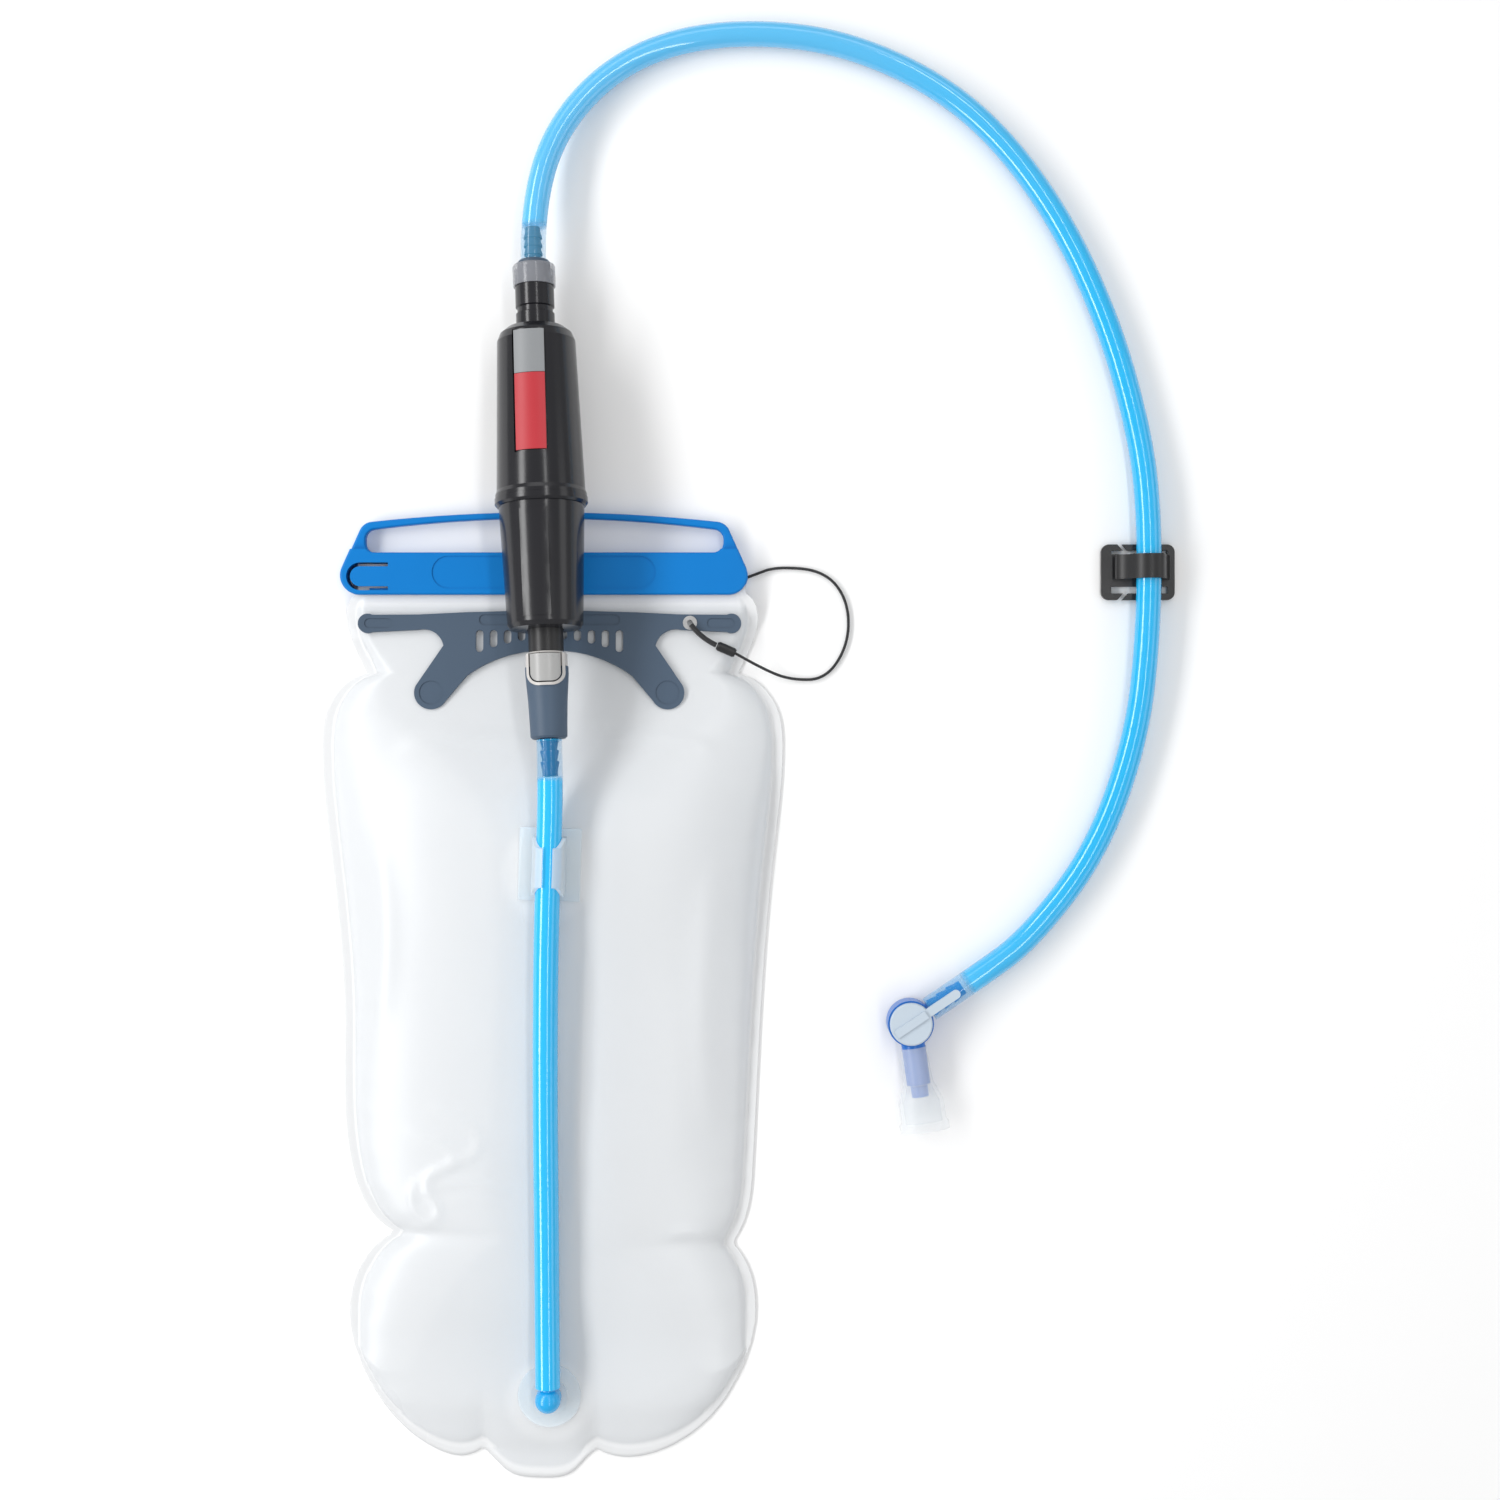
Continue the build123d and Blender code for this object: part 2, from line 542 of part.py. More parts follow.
def inlet_plug():
    """Plug of the quick disconnect, with its valve-opening nose."""
    profile = [(0, -21.2), (2.5, -21.2), (2.5, -15.0), (3.9, -14.6), (3.9, -12.4), (3.1, -12.4), (3.1, -10.4),
               (3.9, -10.4), (3.9, 0), (7.05, 0), (7.05, 11.6), (10.5, 11.8), (10.5, 13.6), (0, 13.6)]
    body = turned(profile)
    return filter_frame() * (body - Pos(0, 0, -3) * Cylinder(1.6, 60))


def outlet_adaptor():
    """Screwed adaptor on the outlet end."""
    profile = [(4.4, 131.5), (4.4, 133.4), (7.85, 133.4), (7.85, 138.5), (7.2, 138.9), (7.2, 140.9), (7.9, 141.3),
               (7.9, 151.4), (7.4, 151.8), (5.2, 151.8), (5.2, 150.9), (4.1, 150.9), (4.1, 151.8), (3.0, 151.8),
               (3.0, 131.5)]
    return turned(profile, filter_frame())


def clear_collar():
    """Clear ring that clips the hose fitting to the adaptor."""
    profile = [(8.0, 150.0), (8.6, 150.0), (8.7, 151.5), (8.7, 158.0), (8.3, 158.7), (6.85, 158.7), (6.85, 157.2),
               (8.0, 156.6)]
    return turned(profile, filter_frame())


def outlet_fitting():
    """Hose fitting on the outlet: grey collar and barb."""
    collar = turned([(0, 152.0), (7.6, 152.0), (7.6, 154.0), (6.65, 154.6), (6.65, 159.9), (6.1, 160.6), (0, 160.6)])
    body = collar + barb_solid(Plane.XY, 160.0, 174.5)
    return filter_frame() * (body - Pos(0, 0, 160) * Cylinder(2.2, 40))


def filter_inside():
    """Sealed pieces inside the housing: fibre bundle, potting disc and carbon element."""
    frame = filter_frame()
    return {
        "fibre_bundle": turned([(0, 15.0), (12.6, 15.0), (13.4, 18), (13.4, 93.9), (0, 93.9)], frame),
        "potting_disc": turned([(0, 94.0), (14.9, 94.0), (14.9, 101.9), (0, 101.9)], frame),
        "carbon_element": turned([(2.5, 102.0), (13.6, 102.0), (13.6, 125.0), (2.5, 125.0)], frame),
    }


def seals():
    """O-rings of the filter and its couplings."""
    frame = filter_frame()
    return {
        "housing_oring": ring(16.62, 0.42, 61.2, frame),
        "inlet_oring": ring(3.57, 0.44, -11.4, frame),
        "outlet_oring": ring(4.65, 0.5, 151.42, frame),
    }


# ---- strap clip ----
def strap_clip():
    """Webbing clip with a sprung arm that hooks over the hose."""
    low, thick = 0.3, 2.2
    bars = RectangleRounded(30.4, 23.0, 3.2) - Pos(0.6, 8.2) * Rectangle(23.2, 1.6) - Pos(0.6, -7.4) * Rectangle(23.4, 2.8)
    for side in (-1, 1):
        cut = Pos(-6.2, side * 10.0) * Rectangle(1.5, 8).rotate(Axis.Z, side * 42)
        bars -= cut
    body = extrude(Pos(0, 0, low) * bars, amount=thick)
    top = low + thick
    hose_x = CLIP_HOSE_X - CLIP_CENTRE[0]
    trough = Pos(hose_x, 0, CLIP_HOSE_Z) * Rot(90, 0, 0) * Cylinder(HOSE_OUTER_R + 0.35, 60)
    reach = HOSE_OUTER_R + 0.45
    arch = CLIP_HOSE_Z + reach
    inside = Spline((11.6, top - 0.3), (hose_x + reach, CLIP_HOSE_Z), (hose_x + 4.0, arch - 1.4), (hose_x, arch),
                    (hose_x - 4.4, arch - 1.6), (-5.0, 7.6), (-9.0, 5.2))
    outside = Spline((-9.6, 6.7), (-5.6, 9.0), (hose_x - 5.0, arch - 0.1), (hose_x, arch + 1.7),
                     (hose_x + 5.1, arch - 0.1), (hose_x + reach + 1.7, CLIP_HOSE_Z), (13.4, top - 0.3))
    nose = ThreePointArc((-9.0, 5.2), (-10.1, 5.7), (-9.6, 6.7))
    edges = [inside, nose, outside, Line((13.4, top - 0.3), (11.6, top - 0.3))]
    arm = extrude(Plane.XZ * make_face(edges), amount=5.0, both=True)
    return Pos(*CLIP_CENTRE, 0) * (body + Pos(0, 1.9, 0) * arm - trough)


# ---- bite valve ----
def valve_frame(angle):
    """Frame at the valve's centre with Z along a horizontal direction, Y up."""
    direction = (cos(radians(angle)), sin(radians(angle)), 0)
    return Plane(origin=(*VALVE_CENTRE, VALVE_AXIS_Z), x_dir=(sin(radians(angle)), -cos(radians(angle)), 0),
                 z_dir=direction)


def valve_body():
    """Bite valve's body: upright barrel, hose barb and outlet stem."""
    barrel = turned([(0, 0.4), (9.0, 0.4), (9.4, 1.0), (9.4, 13.2), (0, 13.2)], Plane(origin=(*VALVE_CENTRE, 0)))
    hose_side, outlet_side = valve_frame(VALVE_HOSE_ANGLE), valve_frame(VALVE_OUTLET_ANGLE)
    barb = barb_solid(hose_side, 6.0, 26.0)
    stem = turned([(0, 6), (4.9, 6), (4.9, 25.6), (3.6, 26.0), (3.5, 30.8), (0, 30.8)], outlet_side)
    body = barrel + barb + stem
    body -= Pos(*VALVE_CENTRE, 8.6) * Cylinder(7.5, 10.4)
    body -= hose_side * Pos(0, 0, 17) * Cylinder(2.2, 24)
    return body - outlet_side * Pos(0, 0, 20) * Cylinder(2.4, 24)


def shutoff_lever():
    """Shut-off: cap with a lever and a ported plug that turns in the barrel."""
    frame = Plane(origin=(*VALVE_CENTRE, 0))
    cap = turned([(0, 13.5), (8.7, 13.5), (8.7, 15.4), (8.2, 15.9), (0, 15.9)], frame)
    plug = turned([(0, 3.7), (7.2, 3.7), (7.2, 13.5), (0, 13.5)], frame)
    arm = Rot(0, 0, VALVE_HOSE_ANGLE) * Pos(9.0, 0, 14.9) * Box(26.0, 3.6, 2.0)
    ridge = Rot(0, 0, VALVE_HOSE_ANGLE) * Pos(0, 0, 16.3) * Box(15.0, 3.4, 1.0)
    nose = Rot(0, 0, VALVE_HOSE_ANGLE) * Pos(22.0, 0, 14.9) * Cylinder(1.8, 2.0)
    lever = Pos(*VALVE_CENTRE, 0) * (arm + ridge + nose)
    body = cap + plug + lever
    for angle in (VALVE_HOSE_ANGLE, VALVE_OUTLET_ANGLE):
        body -= valve_frame(angle) * Pos(0, 0, 5) * Cylinder(2.2, 10)
    return body


def mouthpiece():
    """Soft bite piece: a sleeve on the stem that opens into a bulb with a flat lip."""
    frame = valve_frame(VALVE_OUTLET_ANGLE)
    stations = [(10.4, 5.2, 5.15), (25.0, 6.1, 6.0), (27.5, 7.2, 6.2), (33.0, 9.3, 6.7), (40.5, 9.4, 6.7),
                (42.0, 10.3, 6.9), (45.0, 10.2, 6.8)]
    outer = loft([Pos(0, 0, station) * Ellipse(wide, high) for station, wide, high in stations], ruled=True)
    sleeve = Pos(0, 0, 18.2) * Cylinder(4.95, 16.0)
    stations = [(25.0, 4.6, 4.5), (33.0, 7.6, 5.1), (41.5, 7.7, 5.1)]
    hollow = loft([Pos(0, 0, station) * Ellipse(wide, high) for station, wide, high in stations], ruled=True)
    return frame * (outer - sleeve - hollow)


# ---- all nodes ----
def main():
    """Build and write every node."""
    save("back_film", film_sheet(0))
    save("front_film", front_film())
    save("back_mouth_rail", mouth_rail(SLOT_Z - FILM - RAIL_THICK, False))
    save("front_mouth_rail", mouth_rail(SLOT_Z + FILM, True))
    save("slide_bar", slide_bar())
    save("hanger_yoke", hanger_yoke())
    save("tether_eyelet", tether_eyelet())
    save("tether_lead", tube("tether_lead", TETHER_LEAD_ROUTE, CORD_R))
    save("tether_cord", tube("tether_cord", TETHER_ROUTE, CORD_R))
    save("tether_loop", tether_loop())
    save("tether_ferrule", tether_ferrule())
    save("port_flange", port_flange())
    save("port_elbow", port_elbow())
    save("supply_hose", tube("supply_hose", SUPPLY_ROUTE, HOSE_OUTER_R, HOSE_INNER_R))
    save("hose_keeper", hose_keeper())
    save("socket_body", socket_body())
    save("latch_frame", latch_frame())
    save("release_button", release_button())
    save("button_spring", button_spring())
    save("socket_barb", socket_barb())
    save("valve_poppet", valve_poppet())
    save("poppet_spring", poppet_spring())
    save("lower_shell", lower_shell())
    save("upper_shell", upper_shell())
    save("label_grey", label_panel(110.9, 128.6, 6.2))
    save("label_red", label_panel(79.4, 110.7, 6.2))
    save("inlet_plug", inlet_plug())
    save("outlet_adaptor", outlet_adaptor())
    save("clear_collar", clear_collar())
    save("outlet_fitting", outlet_fitting())
    for name, solid in {**filter_inside(), **seals()}.items():
        save(name, solid)
    save("drink_hose", tube("drink_hose", DRINK_ROUTE, HOSE_OUTER_R, HOSE_INNER_R))
    save("strap_clip", strap_clip())
    save("valve_body", valve_body())
    save("shutoff_lever", shutoff_lever())
    save("mouthpiece", mouthpiece())


main()
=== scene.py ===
"""Visual model of a hydration bladder with an in-line filter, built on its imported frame."""
import logging
import math
from dataclasses import dataclass, field
from enum import Enum

import bpy
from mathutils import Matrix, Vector, noise


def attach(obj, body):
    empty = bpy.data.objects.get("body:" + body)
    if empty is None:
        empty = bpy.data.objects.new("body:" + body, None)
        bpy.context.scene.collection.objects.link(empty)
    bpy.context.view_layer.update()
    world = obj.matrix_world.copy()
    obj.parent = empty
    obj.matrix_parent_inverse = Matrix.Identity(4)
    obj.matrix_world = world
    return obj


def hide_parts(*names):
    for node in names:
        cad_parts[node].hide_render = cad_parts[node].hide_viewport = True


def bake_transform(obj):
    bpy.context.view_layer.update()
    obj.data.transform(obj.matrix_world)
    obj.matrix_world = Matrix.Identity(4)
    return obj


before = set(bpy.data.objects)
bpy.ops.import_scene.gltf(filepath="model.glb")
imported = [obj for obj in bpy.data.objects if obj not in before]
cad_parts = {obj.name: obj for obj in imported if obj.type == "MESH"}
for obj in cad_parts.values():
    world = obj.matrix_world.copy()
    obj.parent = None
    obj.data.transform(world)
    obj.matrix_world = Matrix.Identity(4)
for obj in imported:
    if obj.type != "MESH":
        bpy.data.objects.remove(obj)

LOG = logging.getLogger("bladder")
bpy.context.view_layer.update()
MM = 0.001
FOOT_Y = -257.5

Point = tuple[float, float, float]
Colour = tuple[float, float, float, float]
Sides = dict[int, list[float]]


# ---------------------------------------------------------------------------
# Finishes
# ---------------------------------------------------------------------------
@dataclass(frozen=True)
class MouldedFinish:
    """Injection-moulded plastic with faint flow marks and a fine spark-eroded grain."""

    name: str
    tint: Colour
    shade: Colour
    roughness: float = 0.4
    roughness_swing: float = 0.08
    grain_size: float = 1800.0
    grain_depth: float = 0.05
    coat: float = 0.0
    specular: float = 0.5

    def build(self) -> bpy.types.Material:
        """Write the material out node by node.

        Returns:
            The finished material.
        """
        material = bpy.data.materials.new(self.name)
        material.use_nodes = True
        tree = material.node_tree
        nodes, links = tree.nodes, tree.links
        nodes.clear()

        colour_frame = nodes.new("NodeFrame")
        colour_frame.label = "Flow marks in the plastic"
        polish_frame = nodes.new("NodeFrame")
        polish_frame.label = "Handling polish"
        grain_frame = nodes.new("NodeFrame")
        grain_frame.label = "Tool grain"

        place = nodes.new("ShaderNodeTexCoord")
        place.label = "Place on the piece"
        place.location = (-1200, 0)

        flow = nodes.new("ShaderNodeTexNoise")
        flow.label = "Broad flow of the melt"
        flow.location = (-900, 260)
        flow.parent = colour_frame
        flow.inputs["Scale"].default_value = 14.0
        flow.inputs["Detail"].default_value = 3.0
        tint = nodes.new("ShaderNodeValToRGB")
        tint.label = "Darker and lighter plastic"
        tint.location = (-640, 260)
        tint.parent = colour_frame
        tint.color_ramp.elements[0].position = 0.3
        tint.color_ramp.elements[0].color = self.shade
        tint.color_ramp.elements[1].position = 0.7
        tint.color_ramp.elements[1].color = self.tint

        rub = nodes.new("ShaderNodeTexNoise")
        rub.label = "Rubbed patches"
        rub.location = (-900, -40)
        rub.parent = polish_frame
        rub.inputs["Scale"].default_value = 45.0
        rub.inputs["Detail"].default_value = 5.0
        polish = nodes.new("ShaderNodeMapRange")
        polish.label = "Roughness range"
        polish.location = (-640, -40)
        polish.parent = polish_frame
        polish.inputs["To Min"].default_value = self.roughness - self.roughness_swing
        polish.inputs["To Max"].default_value = self.roughness + self.roughness_swing

        grain = nodes.new("ShaderNodeTexNoise")
        grain.label = "Fine grain"
        grain.location = (-900, -340)
        grain.parent = grain_frame
        grain.inputs["Scale"].default_value = self.grain_size
        grain.inputs["Detail"].default_value = 2.0
        relief = nodes.new("ShaderNodeBump")
        relief.label = "Grain relief"
        relief.location = (-640, -340)
        relief.parent = grain_frame
        relief.inputs["Strength"].default_value = self.grain_depth
        relief.inputs["Distance"].default_value = 0.0002

        plastic = nodes.new("ShaderNodeBsdfPrincipled")
        plastic.label = "Plastic"
        plastic.location = (-260, 60)
        plastic.inputs["IOR"].default_value = 1.5
        plastic.inputs["Specular IOR Level"].default_value = self.specular
        plastic.inputs["Coat Weight"].default_value = self.coat
        plastic.inputs["Coat Roughness"].default_value = 0.15
        output = nodes.new("ShaderNodeOutputMaterial")
        output.label = "Surface"
        output.location = (60, 60)

        links.new(place.outputs["Object"], flow.inputs["Vector"])
        links.new(place.outputs["Object"], rub.inputs["Vector"])
        links.new(place.outputs["Object"], grain.inputs["Vector"])
        links.new(flow.outputs["Fac"], tint.inputs["Fac"])
        links.new(tint.outputs["Color"], plastic.inputs["Base Color"])
        links.new(rub.outputs["Fac"], polish.inputs["Value"])
        links.new(polish.outputs["Result"], plastic.inputs["Roughness"])
        links.new(grain.outputs["Fac"], relief.inputs["Height"])
        links.new(relief.outputs["Normal"], plastic.inputs["Normal"])
        links.new(plastic.outputs["BSDF"], output.inputs["Surface"])
        return material


@dataclass(frozen=True)
class ClearFinish:
    """Clear or frosted soft plastic: film, keeper, collar and silicone."""

    name: str
    tint: Colour
    weld_tint: Colour
    alpha: float
    weld_alpha: float
    roughness: float = 0.3
    ripple_size: float = 60.0
    ripple_depth: float = 0.1

    def build(self) -> bpy.types.Material:
        """Write the material out node by node.

        Returns:
            The finished material.
        """
        material = bpy.data.materials.new(self.name)
        material.use_nodes = True
        tree = material.node_tree
        nodes, links = tree.nodes, tree.links
        nodes.clear()

        weld_frame = nodes.new("NodeFrame")
        weld_frame.label = "Welded edge"
        haze_frame = nodes.new("NodeFrame")
        haze_frame.label = "Haze"
        ripple_frame = nodes.new("NodeFrame")
        ripple_frame.label = "Surface ripple"

        place = nodes.new("ShaderNodeTexCoord")
        place.label = "Place on the piece"
        place.location = (-1400, 0)

        weld = nodes.new("ShaderNodeAttribute")
        weld.label = "Where the piece is welded"
        weld.location = (-1100, 420)
        weld.parent = weld_frame
        weld.attribute_name = "weld"
        colour = nodes.new("ShaderNodeMix")
        colour.label = "Film or weld colour"
        colour.location = (-620, 420)
        colour.parent = weld_frame
        colour.data_type = "RGBA"
        colour.inputs["A"].default_value = self.tint
        colour.inputs["B"].default_value = self.weld_tint
        cover = nodes.new("ShaderNodeMapRange")
        cover.label = "Weld is denser"
        cover.location = (-620, 160)
        cover.parent = weld_frame
        cover.inputs["To Min"].default_value = self.alpha
        cover.inputs["To Max"].default_value = self.weld_alpha

        haze = nodes.new("ShaderNodeTexNoise")
        haze.label = "Clouds of haze"
        haze.location = (-1100, -80)
        haze.parent = haze_frame
        haze.inputs["Scale"].default_value = 9.0
        haze.inputs["Detail"].default_value = 4.0
        dull = nodes.new("ShaderNodeMapRange")
        dull.label = "Roughness range"
        dull.location = (-620, -80)
        dull.parent = haze_frame
        dull.inputs["To Min"].default_value = self.roughness * 0.75
        dull.inputs["To Max"].default_value = self.roughness * 1.25

        ripple = nodes.new("ShaderNodeTexNoise")
        ripple.label = "Soft ripple"
        ripple.location = (-1100, -380)
        ripple.parent = ripple_frame
        ripple.inputs["Scale"].default_value = self.ripple_size
        ripple.inputs["Detail"].default_value = 3.0
        relief = nodes.new("ShaderNodeBump")
        relief.label = "Ripple relief"
        relief.location = (-620, -380)
        relief.parent = ripple_frame
        relief.inputs["Strength"].default_value = self.ripple_depth
        relief.inputs["Distance"].default_value = 0.001

        clear = nodes.new("ShaderNodeBsdfPrincipled")
        clear.label = "Clear plastic"
        clear.location = (-260, 60)
        clear.inputs["IOR"].default_value = 1.49
        output = nodes.new("ShaderNodeOutputMaterial")
        output.label = "Surface"
        output.location = (60, 60)

        links.new(place.outputs["Object"], haze.inputs["Vector"])
        links.new(place.outputs["Object"], ripple.inputs["Vector"])
        links.new(weld.outputs["Fac"], colour.inputs["Factor"])
        links.new(weld.outputs["Fac"], cover.inputs["Value"])
        links.new(colour.outputs["Result"], clear.inputs["Base Color"])
        links.new(cover.outputs["Result"], clear.inputs["Alpha"])
        links.new(haze.outputs["Fac"], dull.inputs["Value"])
        links.new(dull.outputs["Result"], clear.inputs["Roughness"])
        links.new(ripple.outputs["Fac"], relief.inputs["Height"])
        links.new(relief.outputs["Normal"], clear.inputs["Normal"])
        links.new(clear.outputs["BSDF"], output.inputs["Surface"])
        return material


@dataclass(frozen=True)
class HoseFinish:
    """Glossy see-through hose rubber, clearer where a barb stretches it."""

    name: str
    tint: Colour
    pale: Colour
    alpha: float
    barbs: tuple[Point, Point]
    reach: float
    stretched: float
    deep_from: float = 0.13
    deep_to: float = 0.24

    def build(self) -> bpy.types.Material:
        """Write the material out node by node.

        Returns:
            The finished material.
        """
        material = bpy.data.materials.new(self.name)
        material.use_nodes = True
        tree = material.node_tree
        nodes, links = tree.nodes, tree.links
        nodes.clear()

        colour_frame = nodes.new("NodeFrame")
        colour_frame.label = "Hose blue"
        barb_frame = nodes.new("NodeFrame")
        barb_frame.label = "Stretched thin over the barbs"
        skin_frame = nodes.new("NodeFrame")
        skin_frame.label = "Drawn skin"

        place = nodes.new("ShaderNodeTexCoord")
        place.label = "Place on the hose"
        place.location = (-1500, 0)

        split = nodes.new("ShaderNodeSeparateXYZ")
        split.label = "Across the layout"
        split.location = (-1250, 420)
        split.parent = colour_frame
        # The blue deepens by place alone, from x 0.13 m to 0.24 m across the layout, and stays paler before
        # it.
        depth = nodes.new("ShaderNodeMapRange")
        depth.label = "Deeper blue past x 0.13 m"
        depth.location = (-1030, 420)
        depth.parent = colour_frame
        depth.inputs["From Min"].default_value = self.deep_from
        depth.inputs["From Max"].default_value = self.deep_to
        dye = nodes.new("ShaderNodeTexNoise")
        dye.label = "Uneven dye"
        dye.location = (-1030, 160)
        dye.parent = colour_frame
        dye.inputs["Scale"].default_value = 7.0
        dye.inputs["Detail"].default_value = 2.0
        blend = nodes.new("ShaderNodeMath")
        blend.label = "Run and unevenness"
        blend.location = (-800, 320)
        blend.parent = colour_frame
        blend.operation = "MULTIPLY_ADD"
        blend.inputs[1].default_value = 0.25
        colour = nodes.new("ShaderNodeMix")
        colour.label = "Pale or deep blue"
        colour.location = (-560, 320)
        colour.parent = colour_frame
        colour.data_type = "RGBA"
        colour.inputs["A"].default_value = self.pale
        colour.inputs["B"].default_value = self.tint

        first = nodes.new("ShaderNodeVectorMath")
        first.label = "Distance to the first barb"
        first.location = (-1250, -60)
        first.parent = barb_frame
        first.operation = "DISTANCE"
        first.inputs[1].default_value = self.barbs[0]
        second = nodes.new("ShaderNodeVectorMath")
        second.label = "Distance to the second barb"
        second.location = (-1250, -240)
        second.parent = barb_frame
        second.operation = "DISTANCE"
        second.inputs[1].default_value = self.barbs[1]
        nearest = nodes.new("ShaderNodeMath")
        nearest.label = "Nearest barb"
        nearest.location = (-1030, -140)
        nearest.parent = barb_frame
        nearest.operation = "MINIMUM"
        cover = nodes.new("ShaderNodeMapRange")
        cover.label = "How much the rubber covers"
        cover.location = (-800, -140)
        cover.parent = barb_frame
        cover.inputs["From Min"].default_value = self.reach * 0.8
        cover.inputs["From Max"].default_value = self.reach
        cover.inputs["To Min"].default_value = self.stretched
        cover.inputs["To Max"].default_value = self.alpha

        scuff = nodes.new("ShaderNodeTexNoise")
        scuff.label = "Scuffs"
        scuff.location = (-1030, -480)
        scuff.parent = skin_frame
        scuff.inputs["Scale"].default_value = 160.0
        scuff.inputs["Detail"].default_value = 4.0
        gloss = nodes.new("ShaderNodeMapRange")
        gloss.label = "Roughness range"
        gloss.location = (-800, -480)
        gloss.parent = skin_frame
        gloss.inputs["To Min"].default_value = 0.1
        gloss.inputs["To Max"].default_value = 0.2
        relief = nodes.new("ShaderNodeBump")
        relief.label = "Skin relief"
        relief.location = (-800, -740)
        relief.parent = skin_frame
        relief.inputs["Strength"].default_value = 0.03
        relief.inputs["Distance"].default_value = 0.0003

        rubber = nodes.new("ShaderNodeBsdfPrincipled")
        rubber.label = "Hose rubber"
        rubber.location = (-260, 60)
        rubber.inputs["IOR"].default_value = 1.53
        rubber.inputs["Coat Weight"].default_value = 1.0
        rubber.inputs["Coat Roughness"].default_value = 0.06
        output = nodes.new("ShaderNodeOutputMaterial")
        output.label = "Surface"
        output.location = (60, 60)

        links.new(place.outputs["Object"], split.inputs["Vector"])
        links.new(place.outputs["Object"], dye.inputs["Vector"])
        links.new(place.outputs["Object"], scuff.inputs["Vector"])
        links.new(place.outputs["Object"], first.inputs[0])
        links.new(place.outputs["Object"], second.inputs[0])
        links.new(split.outputs["X"], depth.inputs["Value"])
        links.new(dye.outputs["Fac"], blend.inputs[0])
        links.new(depth.outputs["Result"], blend.inputs[2])
        links.new(blend.outputs["Value"], colour.inputs["Factor"])
        links.new(colour.outputs["Result"], rubber.inputs["Base Color"])
        links.new(first.outputs["Value"], nearest.inputs[0])
        links.new(second.outputs["Value"], nearest.inputs[1])
        links.new(nearest.outputs["Value"], cover.inputs["Value"])
        links.new(cover.outputs["Result"], rubber.inputs["Alpha"])
        links.new(scuff.outputs["Fac"], gloss.inputs["Value"])
        links.new(gloss.outputs["Result"], rubber.inputs["Roughness"])
        links.new(scuff.outputs["Fac"], relief.inputs["Height"])
        links.new(relief.outputs["Normal"], rubber.inputs["Normal"])
        links.new(rubber.outputs["BSDF"], output.inputs["Surface"])
        return material


@dataclass(frozen=True)
class CordFinish:
    """Braided synthetic cord."""

    name: str
    tint: Colour

    def build(self) -> bpy.types.Material:
        """Write the material out node by node.

        Returns:
            The finished material.
        """
        material = bpy.data.materials.new(self.name)
        material.use_nodes = True
        tree = material.node_tree
        nodes, links = tree.nodes, tree.links
        nodes.clear()

        braid_frame = nodes.new("NodeFrame")
        braid_frame.label = "Braid"
        place = nodes.new("ShaderNodeTexCoord")
        place.label = "Place on the cord"
        place.location = (-1000, 0)
        strand = nodes.new("ShaderNodeTexWave")
        strand.label = "Crossing strands"
        strand.location = (-760, 0)
        strand.parent = braid_frame
        strand.bands_direction = "DIAGONAL"
        strand.inputs["Scale"].default_value = 500.0
        strand.inputs["Distortion"].default_value = 1.5
        relief = nodes.new("ShaderNodeBump")
        relief.label = "Strand relief"
        relief.location = (-480, -160)
        relief.parent = braid_frame
        relief.inputs["Strength"].default_value = 0.7
        relief.inputs["Distance"].default_value = 0.0002
        lint = nodes.new("ShaderNodeMapRange")
        lint.label = "Duller in the grooves"
        lint.location = (-480, 120)
        lint.parent = braid_frame
        lint.inputs["To Min"].default_value = 0.75
        lint.inputs["To Max"].default_value = 0.5
        fibre = nodes.new("ShaderNodeBsdfPrincipled")
        fibre.label = "Fibre"
        fibre.location = (-200, 60)
        fibre.inputs["Base Color"].default_value = self.tint
        fibre.inputs["Sheen Weight"].default_value = 0.2
        output = nodes.new("ShaderNodeOutputMaterial")
        output.label = "Surface"
        output.location = (100, 60)

        links.new(place.outputs["Object"], strand.inputs["Vector"])
        links.new(strand.outputs["Fac"], lint.inputs["Value"])
        links.new(lint.outputs["Result"], fibre.inputs["Roughness"])
        links.new(strand.outputs["Fac"], relief.inputs["Height"])
        links.new(relief.outputs["Normal"], fibre.inputs["Normal"])
        links.new(fibre.outputs["BSDF"], output.inputs["Surface"])
        return material


